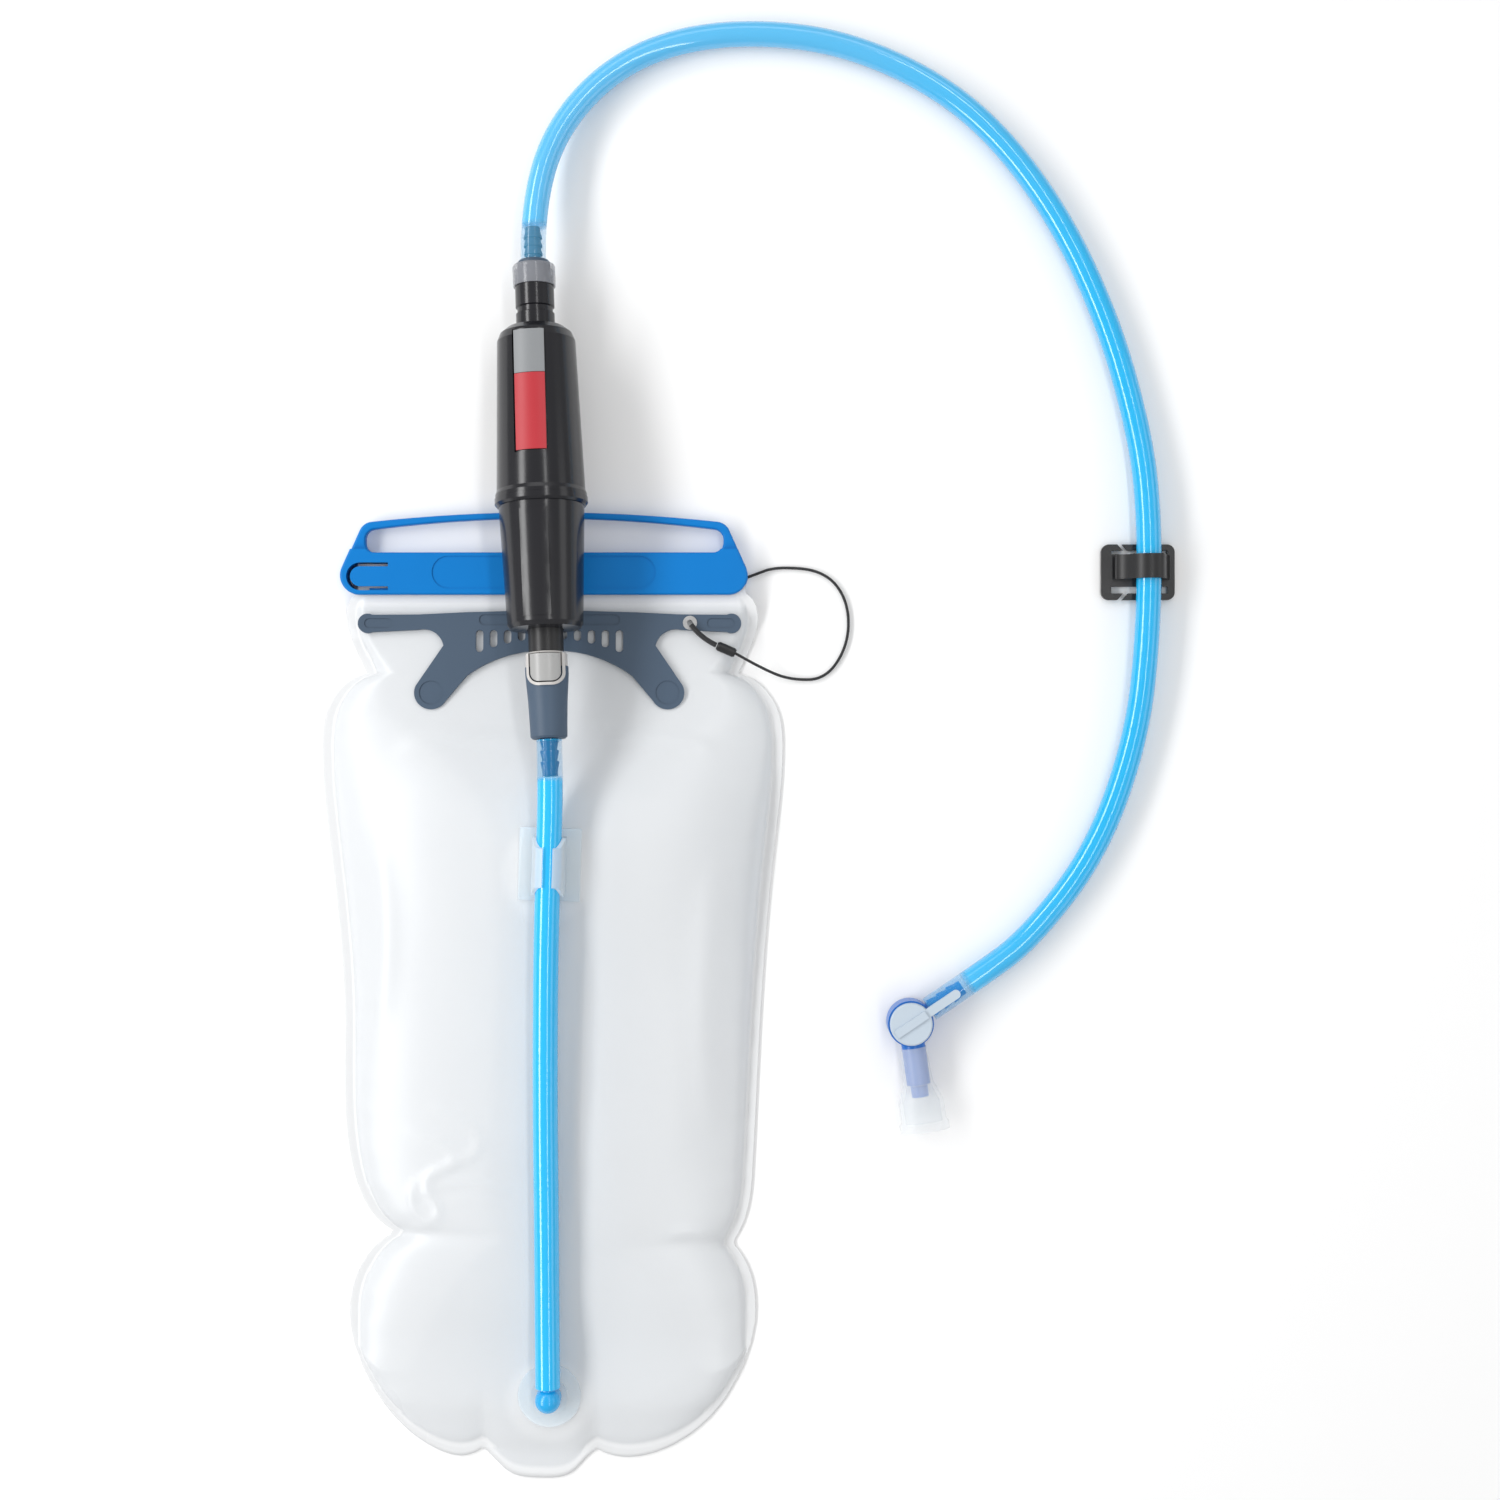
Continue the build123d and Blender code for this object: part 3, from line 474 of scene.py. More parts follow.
@dataclass(frozen=True)
class MetalFinish:
    """Drawn or pressed metal."""

    name: str
    tint: Colour
    roughness: float

    def build(self) -> bpy.types.Material:
        """Write the material out node by node.

        Returns:
            The finished material.
        """
        material = bpy.data.materials.new(self.name)
        material.use_nodes = True
        tree = material.node_tree
        nodes, links = tree.nodes, tree.links
        nodes.clear()

        wear_frame = nodes.new("NodeFrame")
        wear_frame.label = "Drawing marks"
        place = nodes.new("ShaderNodeTexCoord")
        place.label = "Place on the piece"
        place.location = (-900, 0)
        marks = nodes.new("ShaderNodeTexNoise")
        marks.label = "Drawing marks"
        marks.location = (-680, 0)
        marks.parent = wear_frame
        marks.inputs["Scale"].default_value = 600.0
        polish = nodes.new("ShaderNodeMapRange")
        polish.label = "Roughness range"
        polish.location = (-440, 0)
        polish.parent = wear_frame
        polish.inputs["To Min"].default_value = self.roughness * 0.7
        polish.inputs["To Max"].default_value = self.roughness * 1.4
        metal = nodes.new("ShaderNodeBsdfPrincipled")
        metal.label = "Metal"
        metal.location = (-180, 60)
        metal.inputs["Base Color"].default_value = self.tint
        metal.inputs["Metallic"].default_value = 1.0
        output = nodes.new("ShaderNodeOutputMaterial")
        output.label = "Surface"
        output.location = (120, 60)

        links.new(place.outputs["Object"], marks.inputs["Vector"])
        links.new(marks.outputs["Fac"], polish.inputs["Value"])
        links.new(polish.outputs["Result"], metal.inputs["Roughness"])
        links.new(metal.outputs["BSDF"], output.inputs["Surface"])
        return material


class Finish(Enum):
    """Every finish on the bladder."""

    FILM = ClearFinish(
        "film", (0.88, 0.9, 0.92, 1), (0.95, 0.96, 0.97, 1),
        alpha=0.6, weld_alpha=0.7, roughness=0.3, ripple_size=22.0, ripple_depth=0.12,
    )
    KEEPER = ClearFinish(
        "frosted_keeper", (0.82, 0.9, 0.95, 1), (0.9, 0.93, 0.95, 1),
        alpha=0.42, weld_alpha=0.42, roughness=0.35, ripple_size=90.0, ripple_depth=0.1,
    )
    SILICONE = ClearFinish(
        "silicone", (0.84, 0.88, 0.91, 1), (0.9, 0.92, 0.94, 1),
        alpha=0.22, weld_alpha=0.9, roughness=0.3, ripple_size=120.0, ripple_depth=0.12,
    )
    COLLAR = ClearFinish(
        "grey_clear_collar", (0.3, 0.31, 0.34, 1), (0.4, 0.41, 0.44, 1),
        alpha=0.55, weld_alpha=0.55, roughness=0.1, ripple_size=120.0, ripple_depth=0.04,
    )
    BAR = MouldedFinish(
        "slide_bar_blue", (0.0, 0.2, 0.6, 1), (0.0, 0.17, 0.52, 1),
        roughness=0.4, roughness_swing=0.05, grain_size=1500.0, grain_depth=0.04, coat=0.0, specular=0.2,
    )
    SLATE = MouldedFinish(
        "slate", (0.055, 0.09, 0.14, 1), (0.045, 0.076, 0.12, 1),
        roughness=0.5, roughness_swing=0.06, grain_size=1600.0, grain_depth=0.08,
    )
    HOUSING = MouldedFinish(
        "housing_black", (0.012, 0.012, 0.015, 1), (0.008, 0.008, 0.011, 1),
        roughness=0.2, roughness_swing=0.05, grain_size=1900.0, grain_depth=0.04,
    )
    BLACK = MouldedFinish(
        "clip_black", (0.012, 0.012, 0.013, 1), (0.008, 0.008, 0.009, 1),
        roughness=0.38, roughness_swing=0.06, grain_size=1700.0, grain_depth=0.08,
    )
    PALE = MouldedFinish(
        "pale_grey", (0.56, 0.54, 0.52, 1), (0.5, 0.48, 0.46, 1),
        roughness=0.32, roughness_swing=0.05, grain_size=1500.0, grain_depth=0.05,
    )
    SATIN = MouldedFinish(
        "satin_grey", (0.38, 0.38, 0.375, 1), (0.33, 0.33, 0.325, 1),
        roughness=0.28, roughness_swing=0.05, grain_size=1500.0, grain_depth=0.04,
    )
    NAVY = MouldedFinish(
        "navy", (0.01, 0.04, 0.2, 1), (0.008, 0.03, 0.15, 1),
        roughness=0.3, roughness_swing=0.05, grain_size=1500.0, grain_depth=0.04,
    )
    PORT = MouldedFinish(
        "port_blue", (0.01, 0.4, 0.8, 1), (0.01, 0.34, 0.72, 1),
        roughness=0.26, roughness_swing=0.05, grain_size=1500.0, grain_depth=0.04, coat=0.3,
    )
    VALVE = MouldedFinish(
        "valve_blue", (0.0, 0.15, 0.56, 1), (0.0, 0.12, 0.48, 1),
        roughness=0.3, roughness_swing=0.05, grain_size=1500.0, grain_depth=0.04,
    )
    LEVER = MouldedFinish(
        "lever_pale", (0.52, 0.6, 0.68, 1), (0.46, 0.54, 0.62, 1),
        roughness=0.34, roughness_swing=0.05, grain_size=1500.0, grain_depth=0.05,
    )
    LABEL_GREY = MouldedFinish(
        "label_grey", (0.26, 0.27, 0.28, 1), (0.23, 0.24, 0.25, 1),
        roughness=0.42, roughness_swing=0.05, grain_size=2500.0, grain_depth=0.03,
    )
    LABEL_RED = MouldedFinish(
        "label_red", (0.5, 0.025, 0.04, 1), (0.44, 0.02, 0.03, 1),
        roughness=0.42, roughness_swing=0.05, grain_size=2500.0, grain_depth=0.03,
    )
    MEDIA = MouldedFinish(
        "filter_media", (0.8, 0.8, 0.76, 1), (0.7, 0.7, 0.66, 1),
        roughness=0.8, roughness_swing=0.05, grain_size=700.0, grain_depth=0.3,
    )
    SEAL = MouldedFinish(
        "seal_rubber", (0.01, 0.01, 0.01, 1), (0.008, 0.008, 0.008, 1),
        roughness=0.6, roughness_swing=0.05, grain_size=1500.0, grain_depth=0.1,
    )
    SUPPLY = HoseFinish(
        "supply_hose_blue", (0.0, 0.5, 0.93, 1), (0.0, 0.5, 0.93, 1),
        alpha=0.94, barbs=((0.0015, 0.0405, 0.0345), (-0.0008, -0.227, 0.015)), reach=0.0105,
        stretched=0.24,
    )
    DRINK = HoseFinish(
        "drink_hose_blue", (0.0, 0.5, 0.92, 1), (0.1, 0.52, 0.88, 1),
        alpha=0.86, barbs=((-0.0063, 0.2475, 0.0165), (0.1625, -0.0575, 0.0074)), reach=0.0135,
        stretched=0.3,
    )
    CORD = CordFinish("cord_black", (0.012, 0.012, 0.014, 1))
    STEEL = MetalFinish("steel", (0.6, 0.6, 0.6, 1), roughness=0.3)


class FinishBook:
    """Builds each finish once and dresses pieces with it."""

    def __init__(self) -> None:
        """Start with no finish built."""
        self.built: dict[Finish, bpy.types.Material] = {}

    def dress(self, piece: bpy.types.Object, finish: Finish) -> None:
        """Give a piece one finish all over.

        Args:
            piece: Object to dress.
            finish: The finish it takes.
        """
        if finish not in self.built:
            self.built[finish] = finish.value.build()
        piece.data.materials.clear()
        piece.data.materials.append(self.built[finish])


# ---------------------------------------------------------------------------
# Making by hand
# ---------------------------------------------------------------------------
def pick_only(piece: bpy.types.Object) -> None:
    """Deselect everything, then select and activate one piece.

    Args:
        piece: The object to work on.
    """
    bpy.ops.object.select_all(action="DESELECT")
    piece.select_set(True)
    bpy.context.view_layer.objects.active = piece


def along_y(y: float, table: list[tuple[float, float]]) -> float:
    """Smooth value between the entries of a table.

    Args:
        y: Where to read the table.
        table: Rows of (place, value), in order of place.

    Returns:
        The value at that place.
    """
    if y <= table[0][0]:
        return table[0][1]
    for (y0, v0), (y1, v1) in zip(table, table[1:]):
        if y <= y1:
            share = (y - y0) / (y1 - y0)
            share = share * share * (3 - 2 * share) * 0.5 + share * 0.5
            return v0 + (v1 - v0) * share
    return table[-1][1]


def route_curve(name: str, route: list[Point], radius: float) -> bpy.types.Object:
    """Round cord or hose on one smooth line.

    Args:
        name: Name of the piece.
        route: Control points in metres.
        radius: Radius in metres.

    Returns:
        The curve object, in the scene.
    """
    data = bpy.data.curves.new(name, "CURVE")
    data.dimensions = "3D"
    spline = data.splines.new("NURBS")
    spline.points.add(len(route) - 1)
    for point, place in zip(spline.points, route):
        point.co = (*place, 1.0)
    spline.order_u = 3
    spline.use_endpoint_u = True
    spline.resolution_u = 16
    data.bevel_depth = radius
    data.bevel_resolution = 7
    data.use_fill_caps = True
    piece = bpy.data.objects.new(name, data)
    bpy.context.collection.objects.link(piece)
    return piece


def in_metres(route: list[Point]) -> list[Point]:
    """The same points, from millimetres to metres."""
    return [(x * MM, y * MM, z * MM) for x, y, z in route]


# ---------------------------------------------------------------------------
# Studio
# ---------------------------------------------------------------------------
@dataclass
class Studio:
    """Pale floor, soft lights and the camera straight overhead."""

    camera_place: Point = (0.0818, 0.0442, 0.95)
    lens: float = 54.94
    floor_size: float = 6.0
    surround: float = 0.5
    aim: Point = (0.06, 0.02, 0.0)
    lights: list[tuple[str, Point, float, float, float]] = field(default_factory=lambda: [
        ("left_softbox", (-0.85, 0.1, 0.8), 1.9, 0.28, 13.0),
        ("right_strip", (0.42, 0.05, 1.2), 1.9, 0.09, 4.0),
        ("right_fill", (1.3, -0.1, 0.7), 1.6, 0.5, 2.5),
        ("head", (0.05, 1.3, 0.9), 1.6, 0.4, 2.5),
    ])

    def build(self) -> None:
        """Make the floor, the lights, the surroundings and the camera."""
        bpy.ops.object.select_all(action="DESELECT")
        bpy.ops.mesh.primitive_plane_add(size=self.floor_size, location=(0.08, 0.04, -0.0003))
        floor = bpy.context.object
        floor.name = "floor"
        floor.data.materials.append(self.floor_material())
        for name, place, wide, long, power in self.lights:
            bpy.ops.object.light_add(type="AREA", location=place)
            lamp = bpy.context.object
            lamp.name = name
            lamp.data.shape = "RECTANGLE"
            lamp.data.size = wide
            lamp.data.size_y = long
            lamp.data.energy = power
            direction = Vector(self.aim) - Vector(place)
            lamp.rotation_euler = direction.to_track_quat("-Z", "Y").to_euler()
        world = bpy.data.worlds.new("studio")
        world.use_nodes = True
        world.node_tree.nodes["Background"].inputs["Color"].default_value = (1, 1, 1, 1)
        world.node_tree.nodes["Background"].inputs["Strength"].default_value = self.surround
        bpy.context.scene.world = world
        bpy.ops.object.camera_add(location=self.camera_place, rotation=(0, 0, 0))
        camera = bpy.context.object
        camera.name = "camera"
        camera.data.lens = self.lens
        camera.data.sensor_width = 36.0
        camera.data.clip_start = 0.01
        bpy.context.scene.camera = camera
        bpy.context.scene.view_settings.view_transform = "Standard"

    def floor_material(self) -> bpy.types.Material:
        """Pale matte paper.

        Returns:
            The floor's material.
        """
        material = bpy.data.materials.new("pale_paper")
        material.use_nodes = True
        paper = material.node_tree.nodes["Principled BSDF"]
        paper.inputs["Base Color"].default_value = (0.92, 0.92, 0.92, 1)
        paper.inputs["Roughness"].default_value = 0.9
        return material


# ---------------------------------------------------------------------------
# Reservoir
# ---------------------------------------------------------------------------
class Film(Enum):
    """The two films of the bag."""

    BACK = "bag_back"
    FRONT = "bag_front"


@dataclass
class Crease:
    """A raised fold in the front film, as (x, distance from the foot) points in millimetres."""

    line: list[tuple[float, float]]
    height: float
    width: float

    def __post_init__(self) -> None:
        """Round the line by cutting its corners three times."""
        for _ in range(3):
            cut = [self.line[0]]
            for (ax, ay), (bx, by) in zip(self.line, self.line[1:]):
                cut.append((ax * 0.75 + bx * 0.25, ay * 0.75 + by * 0.25))
                cut.append((ax * 0.25 + bx * 0.75, ay * 0.25 + by * 0.75))
            self.line = cut + [self.line[-1]]

    def lift(self, x: float, rise: float) -> float:
        """Height that the fold adds at a place.

        Args:
            x: Distance from the middle line, in millimetres.
            rise: Distance from the foot, in millimetres.

        Returns:
            Added height in millimetres.
        """
        nearest = 1e9
        place = Vector((x, rise))
        count = len(self.line) - 1
        along = 0.0
        for index, (start, end) in enumerate(zip(self.line, self.line[1:])):
            first, second = Vector(start), Vector(end)
            run = second - first
            share = max(0.0, min(1.0, (place - first).dot(run) / run.length_squared))
            gap = (place - first - run * share).length
            if gap < nearest:
                nearest, along = gap, (index + share) / count
        taper = math.sin(math.pi * max(0.04, min(0.96, along))) ** 0.5
        return self.height * taper * math.exp(-(nearest / self.width) ** 2)


@dataclass
class Reservoir:
    """The bag's two films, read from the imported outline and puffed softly.

    Lengths are in millimetres, measured from the foot of the bag or from its middle line. The keeper's patch
    is (half width, half height, place up the bag) and the port's is (place across, place up the bag, radius).
    """

    books: FinishBook
    columns: int = 110
    rows: int = 190
    lobe_rise: float = 68.0
    mouth_rise: float = 378.5
    weld: float = 4.4
    film: float = 0.4
    step: float = 0.5
    samples: int = 400
    lobe_share: float = 0.2
    crowding: float = 0.96
    climb: float = 4.7
    ramp_start: float = 351.5
    ramp_length: float = 13.0
    mouth_weld: float = 362.0
    rail_start: float = 366.0
    neck_start: float = 312.0
    keeper_patch: Point = (20.0, 22.0, 252.0)
    port_patch: Point = (-0.8, 33.4, 19.5)
    patch_weld: float = 0.45
    wave_height: float = 0.9
    pucker_height: float = 0.28
    blur: tuple[float, ...] = (-8.0, -4.0, 0.0, 4.0, 8.0)
    tops: list[tuple[float, float]] = field(default_factory=lambda: [
        (6, 0.8), (14, 2.4), (24, 6.4), (34, 7.0), (51, 7.05), (84, 11.7), (115, 14.7), (150, 17.3),
        (200, 20.3), (258, 24.9), (272, 25.2), (284, 22.0), (300, 14.8), (316, 9.4), (330, 7.4), (351, 6.1),
        (364, 5.5), (379, 5.5),
    ])
    shoulders: list[tuple[float, float]] = field(default_factory=lambda: [
        (10, 12), (40, 20), (90, 40), (150, 58), (270, 66), (292, 56), (308, 34), (322, 16), (338, 5),
        (379, 1),
    ])
    creases: list[Crease] = field(default_factory=lambda: [
        Crease([(-47, 155), (-28, 147), (-29, 136), (-48, 130), (-52, 122), (-43, 112), (-54, 104),
                (-63, 101)], 0.8, 1.5),
        Crease([(-58, 146), (-40, 140), (-38, 131), (-58, 124), (-57, 112), (-50, 107)], 0.5, 1.6),
        Crease([(-58, 118), (-45, 124), (-30, 125), (-18, 121)], 0.5, 1.3),
        Crease([(-40, 117), (-30, 119), (-20, 116)], 0.35, 1.1),
        Crease([(14, 215), (13, 190), (11, 150), (10, 112)], 0.9, 1.6),
        Crease([(74, 99), (60, 104), (48, 103)], 0.9, 2.4),
        Crease([(-70, 190), (-66, 230), (-70, 262)], 0.8, 5.0),
        Crease([(66, 150), (62, 200), (67, 250)], 0.7, 6.0),
        Crease([(-60, 302), (-38, 308), (-12, 306)], 0.7, 3.0),
        Crease([(20, 305), (44, 309), (66, 303)], 0.7, 3.0),
    ])

    def base_height(self, rise: float) -> float:
        """Height of the back film's underside at a distance from the foot."""
        return self.climb * max(0.0, min(1.0, (rise - self.ramp_start) / self.ramp_length))

    def half_width(self, back: bpy.types.Object, rise: float, side: int) -> float:
        """Distance from the middle line to the outline, on one side.

        Args:
            back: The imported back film.
            rise: Distance from the foot in millimetres.
            side: 1 for the right side, -1 for the left side.

        Returns:
            Distance in millimetres.
        """
        z = (self.base_height(rise) + 0.2) * MM
        hit, place, _, _ = back.ray_cast(Vector((0.2 * side, (FOOT_Y + rise) * MM, z)), Vector((-side, 0, 0)))
        return abs(place.x) / MM if hit else 80.0

    def lowest_rise(self, back: bpy.types.Object, x: float) -> float:
        """Distance from the foot to the outline's lower edge at a place across the bag.

        Args:
            back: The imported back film.
            x: Place across the bag in millimetres.

        Returns:
            Distance from the foot in millimetres.
        """
        hit, place, _, _ = back.ray_cast(Vector((x * MM, -0.4, 0.0002)), Vector((0, 1, 0)))
        return place.y / MM - FOOT_Y if hit else self.lobe_rise

    def lower_edge(self, back: bpy.types.Object, lobe: float) -> list[float]:
        """The outline's lower edge at even steps from the middle line to a lobe's side.

        Args:
            back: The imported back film.
            lobe: Place of the lobe's widest point, negative on the left.

        Returns:
            Distances from the foot in millimetres.
        """
        count = self.samples
        return [self.lowest_rise(back, lobe * index / float(count) * 0.999) for index in range(count + 1)]

    def build(self) -> list[bpy.types.Object]:
        """Make both films.

        Returns:
            The two film pieces.
        """
        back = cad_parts["back_film"]
        count = int(self.mouth_rise / self.step) + 1
        rises = [min(self.mouth_rise - 0.3, max(0.6, index * self.step)) for index in range(count + 1)]
        widths = {side: [self.half_width(back, rise, side) for rise in rises] for side in (-1, 1)}
        lobes = {side: self.half_width(back, self.lobe_rise, side) for side in (-1, 1)}
        lows = {side: self.lower_edge(back, side * lobes[side]) for side in (-1, 1)}
        pieces = []
        for film in Film:
            piece = self.sheet(film, widths, lows, lobes)
            self.books.dress(piece, Finish.FILM)
            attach(piece, "bag")
            pieces.append(piece)
        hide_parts("back_film")
        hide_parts("front_film")
        return pieces

    def sheet(self, film: Film, widths: Sides, lows: Sides, lobes: dict[int, float]) -> bpy.types.Object:
        """One film, from a grid laid out inside the outline.

        Args:
            film: Which film.
            widths: Distances to the outline at even steps from the foot, by side.
            lows: Lower edge at even steps from the middle line to the lobe's side, by side.
            lobes: Distance from the middle line to the widest place of each lobe.

        Returns:
            The film's mesh object.
        """
        bpy.ops.object.select_all(action="DESELECT")
        bpy.ops.mesh.primitive_grid_add(x_subdivisions=self.columns, y_subdivisions=self.rows, size=2.0)
        piece = bpy.context.object
        piece.name = film.value
        mesh = piece.data
        mesh.name = film.value
        body_rise, body_share = self.mouth_rise - self.lobe_rise, 1 - self.lobe_share
        turn = math.pi / 2 * self.crowding
        weld = mesh.attributes.new("weld", "FLOAT", "POINT")
        for vertex in mesh.vertices:
            across = math.sin(vertex.co.x * turn) / math.sin(turn)
            share = (vertex.co.y + 1) / 2
            side = 1 if across > 0 else -1
            lobe = lobes[side]
            low = lows[side][min(self.samples, int(round(abs(across) * self.samples)))]
            if share < self.lobe_share:
                rise = low + (self.lobe_rise - low) * (share / self.lobe_share)
                half, x = lobe, across * lobe
            else:
                rise = self.lobe_rise + body_rise * (share - self.lobe_share) / body_share
                at = min(len(widths[side]) - 2, int(rise / self.step))
                part = rise / self.step - at
                half = widths[side][at] * (1 - part) + widths[side][at + 1] * part
                x = across * half
            edge = min(half - abs(x), max(0.0, rise - low) * 0.92)
            weld.data[vertex.index].value = self.weld_share(film, x, rise, edge)
            height = self.height(film, x, rise, edge)
            vertex.co = (x * MM, (FOOT_Y + rise) * MM, height * MM)
        pick_only(piece)
        bpy.ops.object.mode_set(mode="EDIT")
        bpy.ops.mesh.select_all(action="SELECT")
        bpy.ops.mesh.remove_doubles(threshold=0.00005)
        bpy.ops.mesh.normals_make_consistent(inside=False)
        bpy.ops.object.mode_set(mode="OBJECT")
        thick = piece.modifiers.new("film thickness", "SOLIDIFY")
        thick.thickness = self.film * MM
        thick.offset = -1.0
        bpy.ops.object.modifier_apply(modifier=thick.name)
        bpy.ops.object.shade_smooth()
        return piece

    def weld_share(self, film: Film, x: float, rise: float, edge: float) -> float:
        """How far a place is welded: 1 in a weld, less on the patches under the keeper and the port.

        Args:
            film: Which film.
            x: Distance from the middle line.
            rise: Distance from the foot.
            edge: Distance from the outline.

        Returns:
            Share from 0 to 1.
        """
        if edge < self.weld or rise > self.mouth_weld:
            return 1.0
        if film is Film.BACK:
            return 0.0
        half_wide, half_high, keeper_rise = self.keeper_patch
        port_x, port_rise, port_radius = self.port_patch
        keeper = 1.0 - math.hypot(x / half_wide, (rise - keeper_rise) / half_high)
        port = 1.0 - math.hypot(x - port_x, rise - port_rise) / port_radius
        return max(0.0, min(1.0, max(keeper * 5, port * 5))) * self.patch_weld

    def height(self, film: Film, x: float, rise: float, edge: float) -> float:
        """Height of a film's upper skin.

        Args:
            film: Which film.
            x: Distance from the middle line.
            rise: Distance from the foot.
            edge: Distance from the outline.

        Returns:
            Height in millimetres.
        """
        base = self.base_height(rise)
        if film is Film.BACK:
            return base + self.film
        flat = base + 2 * self.film
        if edge <= self.weld or rise > self.rail_start:
            return flat
        near = [rise + shift for shift in self.blur]
        top = max(flat, sum(along_y(place, self.tops) for place in near) / len(near))
        shoulder = sum(along_y(place, self.shoulders) for place in near) / len(near)
        inside = min(1.0, (edge - self.weld) / shoulder)
        puff = math.sqrt(max(0.0, 1 - (1 - inside) ** 2.2))
        puff = puff * 0.75 + inside * 0.25
        lift = sum(crease.lift(x, rise) for crease in self.creases)
        wave = noise.noise(Vector((x * 0.03, rise * 0.018, 3.0))) * self.wave_height
        pucker = math.sin(rise * 0.42 + 1.7 * noise.noise(Vector((0, rise * 0.05, 1.0)))) * self.pucker_height
        pucker *= math.exp(-((edge - self.weld) / 7.0)) * min(1.0, (edge - self.weld) / 2.0)
        calm = min(1.0, (edge - self.weld) / 10.0) * (1.0 if rise < self.neck_start else 0.0)
        clear_of_hose = min(1.0, abs(x) / 12.0)
        return flat + (top - flat) * puff + (lift + wave * clear_of_hose) * calm + pucker


# ---------------------------------------------------------------------------
# Hoses and tether
# ---------------------------------------------------------------------------
@dataclass
class Hoses:
    """Supply hose on the bag and drink hose from the filter to the bite valve."""

    books: FinishBook
    radius: float = 0.0052
    supply: list[Point] = field(default_factory=lambda: [
        (-0.8, -216.0, 15.2), (-1.0, -190.0, 15.9), (-0.8, -150.0, 21.0), (-1.0, -95.0, 25.6),
        (-0.3, -36.0, 30.0), (1.2, 4.0, 33.2), (2.1, 32.0, 35.3), (1.4, 48.25, 33.9),
    ])
    drink: list[Point] = field(default_factory=lambda: [
        (-6.4, 243.6, 16.8), (-7.2, 264.0, 15.0), (1.2, 298.0, 10.5), (25.5, 326.0, 7.2),
        (60.5, 339.8, 5.4), (106.5, 339.5, 5.4), (145.8, 326.5, 5.4), (179.2, 304.0, 5.4),
        (208.3, 266.5, 5.4), (229.7, 221.0, 5.4), (242.3, 176.0, 5.4), (246.1, 143.0, 7.8),
        (245.9, 94.0, 7.8), (241.5, 49.5, 5.4), (224.8, 2.2, 5.4), (196.8, -34.0, 5.6),
        (175.9, -48.9, 7.3), (155.7, -62.5, 7.4),
    ])

    def build(self) -> list[bpy.types.Object]:
        """Returns:
            The two hose pieces.
        """
        supply = route_curve("supply_line", in_metres(self.supply), self.radius)
        self.books.dress(supply, Finish.SUPPLY)
        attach(supply, "bag")
        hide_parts("supply_hose")
        route = in_metres(self.drink)
        drink = route_curve("drink_line", route, self.radius)
        self.books.dress(drink, Finish.DRINK)
        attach(drink, "filter")
        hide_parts("drink_hose")
        return [supply, drink]


@dataclass
class Tether:
    """Thin cord that ties the slide bar to the yoke."""

    books: FinishBook
    radius: float = 0.0006
    lead: list[Point] = field(default_factory=lambda: [
        (76.6, 114.3, 1.2), (83.5, 116.7, 1.2), (92.5, 120.2, 1.1), (102.5, 119.4, 1.0)])
    main: list[Point] = field(default_factory=lambda: [
        (102.5, 119.4, 1.0), (112.5, 118.6, 1.0), (122.4, 106.5, 1.0), (122.8, 88.5, 1.0),
        (113.5, 73.6, 1.0), (99.0, 73.2, 1.1), (87.5, 77.4, 4.2), (76.0, 83.8, 9.3)])
    loop: list[Point] = field(default_factory=lambda: [
        (67.9, 87.3, 9.3), (61.6, 90.2, 10.1), (57.6, 95.7, 10.1)])

    def build(self) -> list[bpy.types.Object]:
        """Make the three stretches of the tether.

        Returns:
            The pieces.
        """
        lead_route, main_route, loop_route = (in_metres(route) for route in (self.lead, self.main, self.loop))
        lead = route_curve("tether_to_bar", lead_route, self.radius)
        pick_only(lead)
        bpy.ops.object.convert(target="MESH")
        lead = bpy.context.object
        self.books.dress(lead, Finish.CORD)
        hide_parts("tether_lead")
        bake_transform(lead)
        main = route_curve("tether_main", main_route, self.radius)
        self.books.dress(main, Finish.CORD)
        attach(main, "bag")
        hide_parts("tether_cord")
        loop = route_curve("tether_eye_loop", loop_route, self.radius * 1.8)
        self.books.dress(loop, Finish.CORD)
        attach(loop, "bag")
        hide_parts("tether_loop")
        return [lead, main, loop]


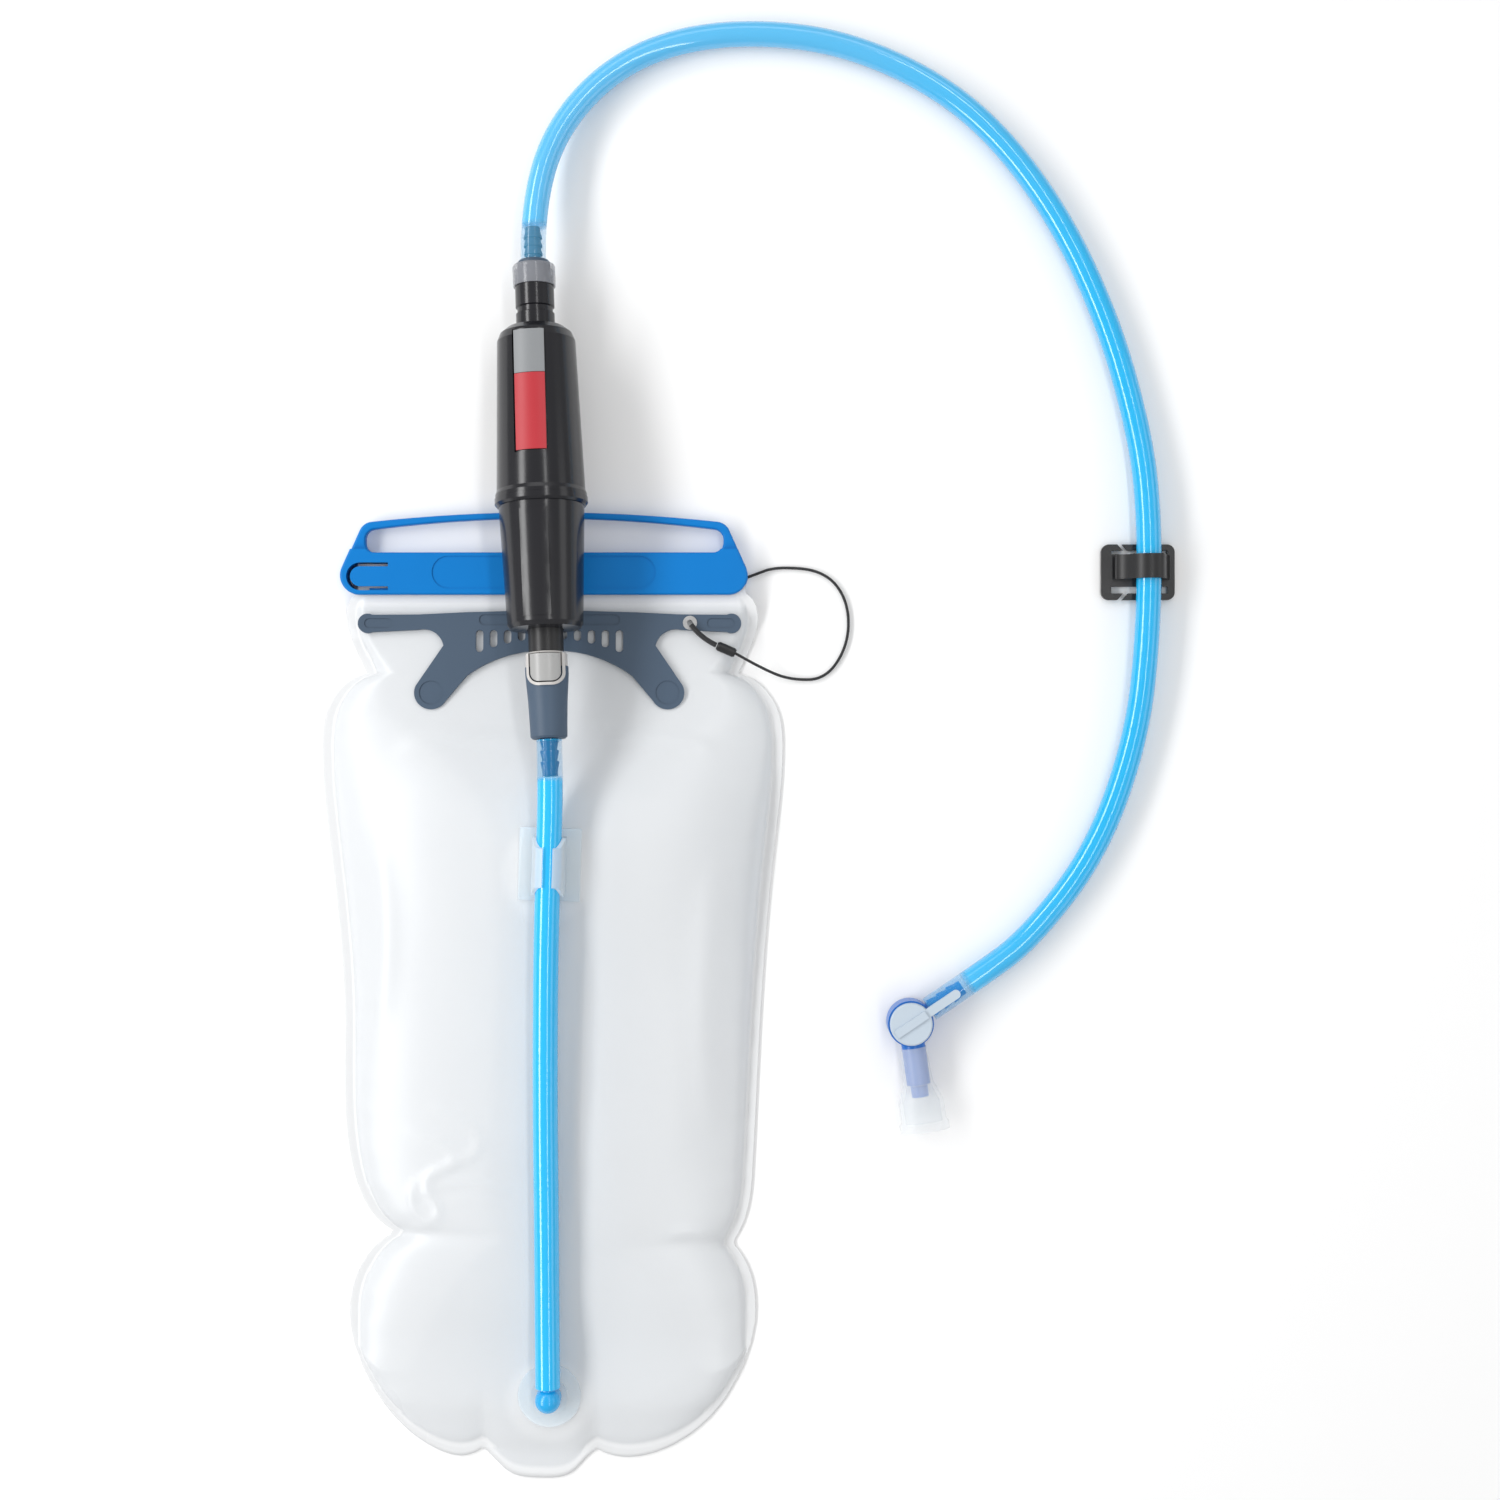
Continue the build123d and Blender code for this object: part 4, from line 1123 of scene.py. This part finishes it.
# ---------------------------------------------------------------------------
# Carried-over pieces
# ---------------------------------------------------------------------------
@dataclass
class Hardware:
    """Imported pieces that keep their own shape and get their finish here."""

    books: FinishBook
    finishes: dict[str, Finish] = field(default_factory=lambda: {
        "back_mouth_rail": Finish.FILM, "front_mouth_rail": Finish.FILM, "slide_bar": Finish.BAR,
        "hanger_yoke": Finish.SLATE, "tether_eyelet": Finish.STEEL, "tether_ferrule": Finish.BLACK,
        "port_flange": Finish.KEEPER, "port_elbow": Finish.PORT, "hose_keeper": Finish.KEEPER,
        "socket_body": Finish.SLATE, "latch_frame": Finish.PALE, "release_button": Finish.SATIN,
        "button_spring": Finish.STEEL, "socket_barb": Finish.NAVY, "valve_poppet": Finish.NAVY,
        "poppet_spring": Finish.STEEL, "lower_shell": Finish.HOUSING, "upper_shell": Finish.HOUSING,
        "label_grey": Finish.LABEL_GREY, "label_red": Finish.LABEL_RED, "inlet_plug": Finish.BLACK,
        "outlet_adaptor": Finish.HOUSING, "clear_collar": Finish.COLLAR, "outlet_fitting": Finish.SLATE,
        "fibre_bundle": Finish.MEDIA, "potting_disc": Finish.MEDIA, "carbon_element": Finish.BLACK,
        "housing_oring": Finish.SEAL, "inlet_oring": Finish.SEAL, "outlet_oring": Finish.SEAL,
        "strap_clip": Finish.BLACK, "valve_body": Finish.VALVE, "shutoff_lever": Finish.LEVER,
        "mouthpiece": Finish.SILICONE,
    })

    def build(self) -> list[bpy.types.Object]:
        """Dress every carried-over piece.

        Returns:
            The pieces.
        """
        pieces = []
        for name, finish in self.finishes.items():
            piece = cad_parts[name]
            self.books.dress(piece, finish)
            pieces.append(piece)
        return pieces


def save_sizes() -> None:
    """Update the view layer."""
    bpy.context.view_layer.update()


def main() -> None:
    """Build every sub-assembly in order and report its pieces."""
    logging.basicConfig(level=logging.INFO, format="%(name)s: %(message)s")
    books = FinishBook()
    Studio().build()
    for maker in (Hoses(books), Tether(books), Reservoir(books), Hardware(books)):
        for piece in maker.build():
            LOG.info("%s from %s", piece.name, type(maker).__name__)
    save_sizes()


if __name__ == "__main__":
    main()
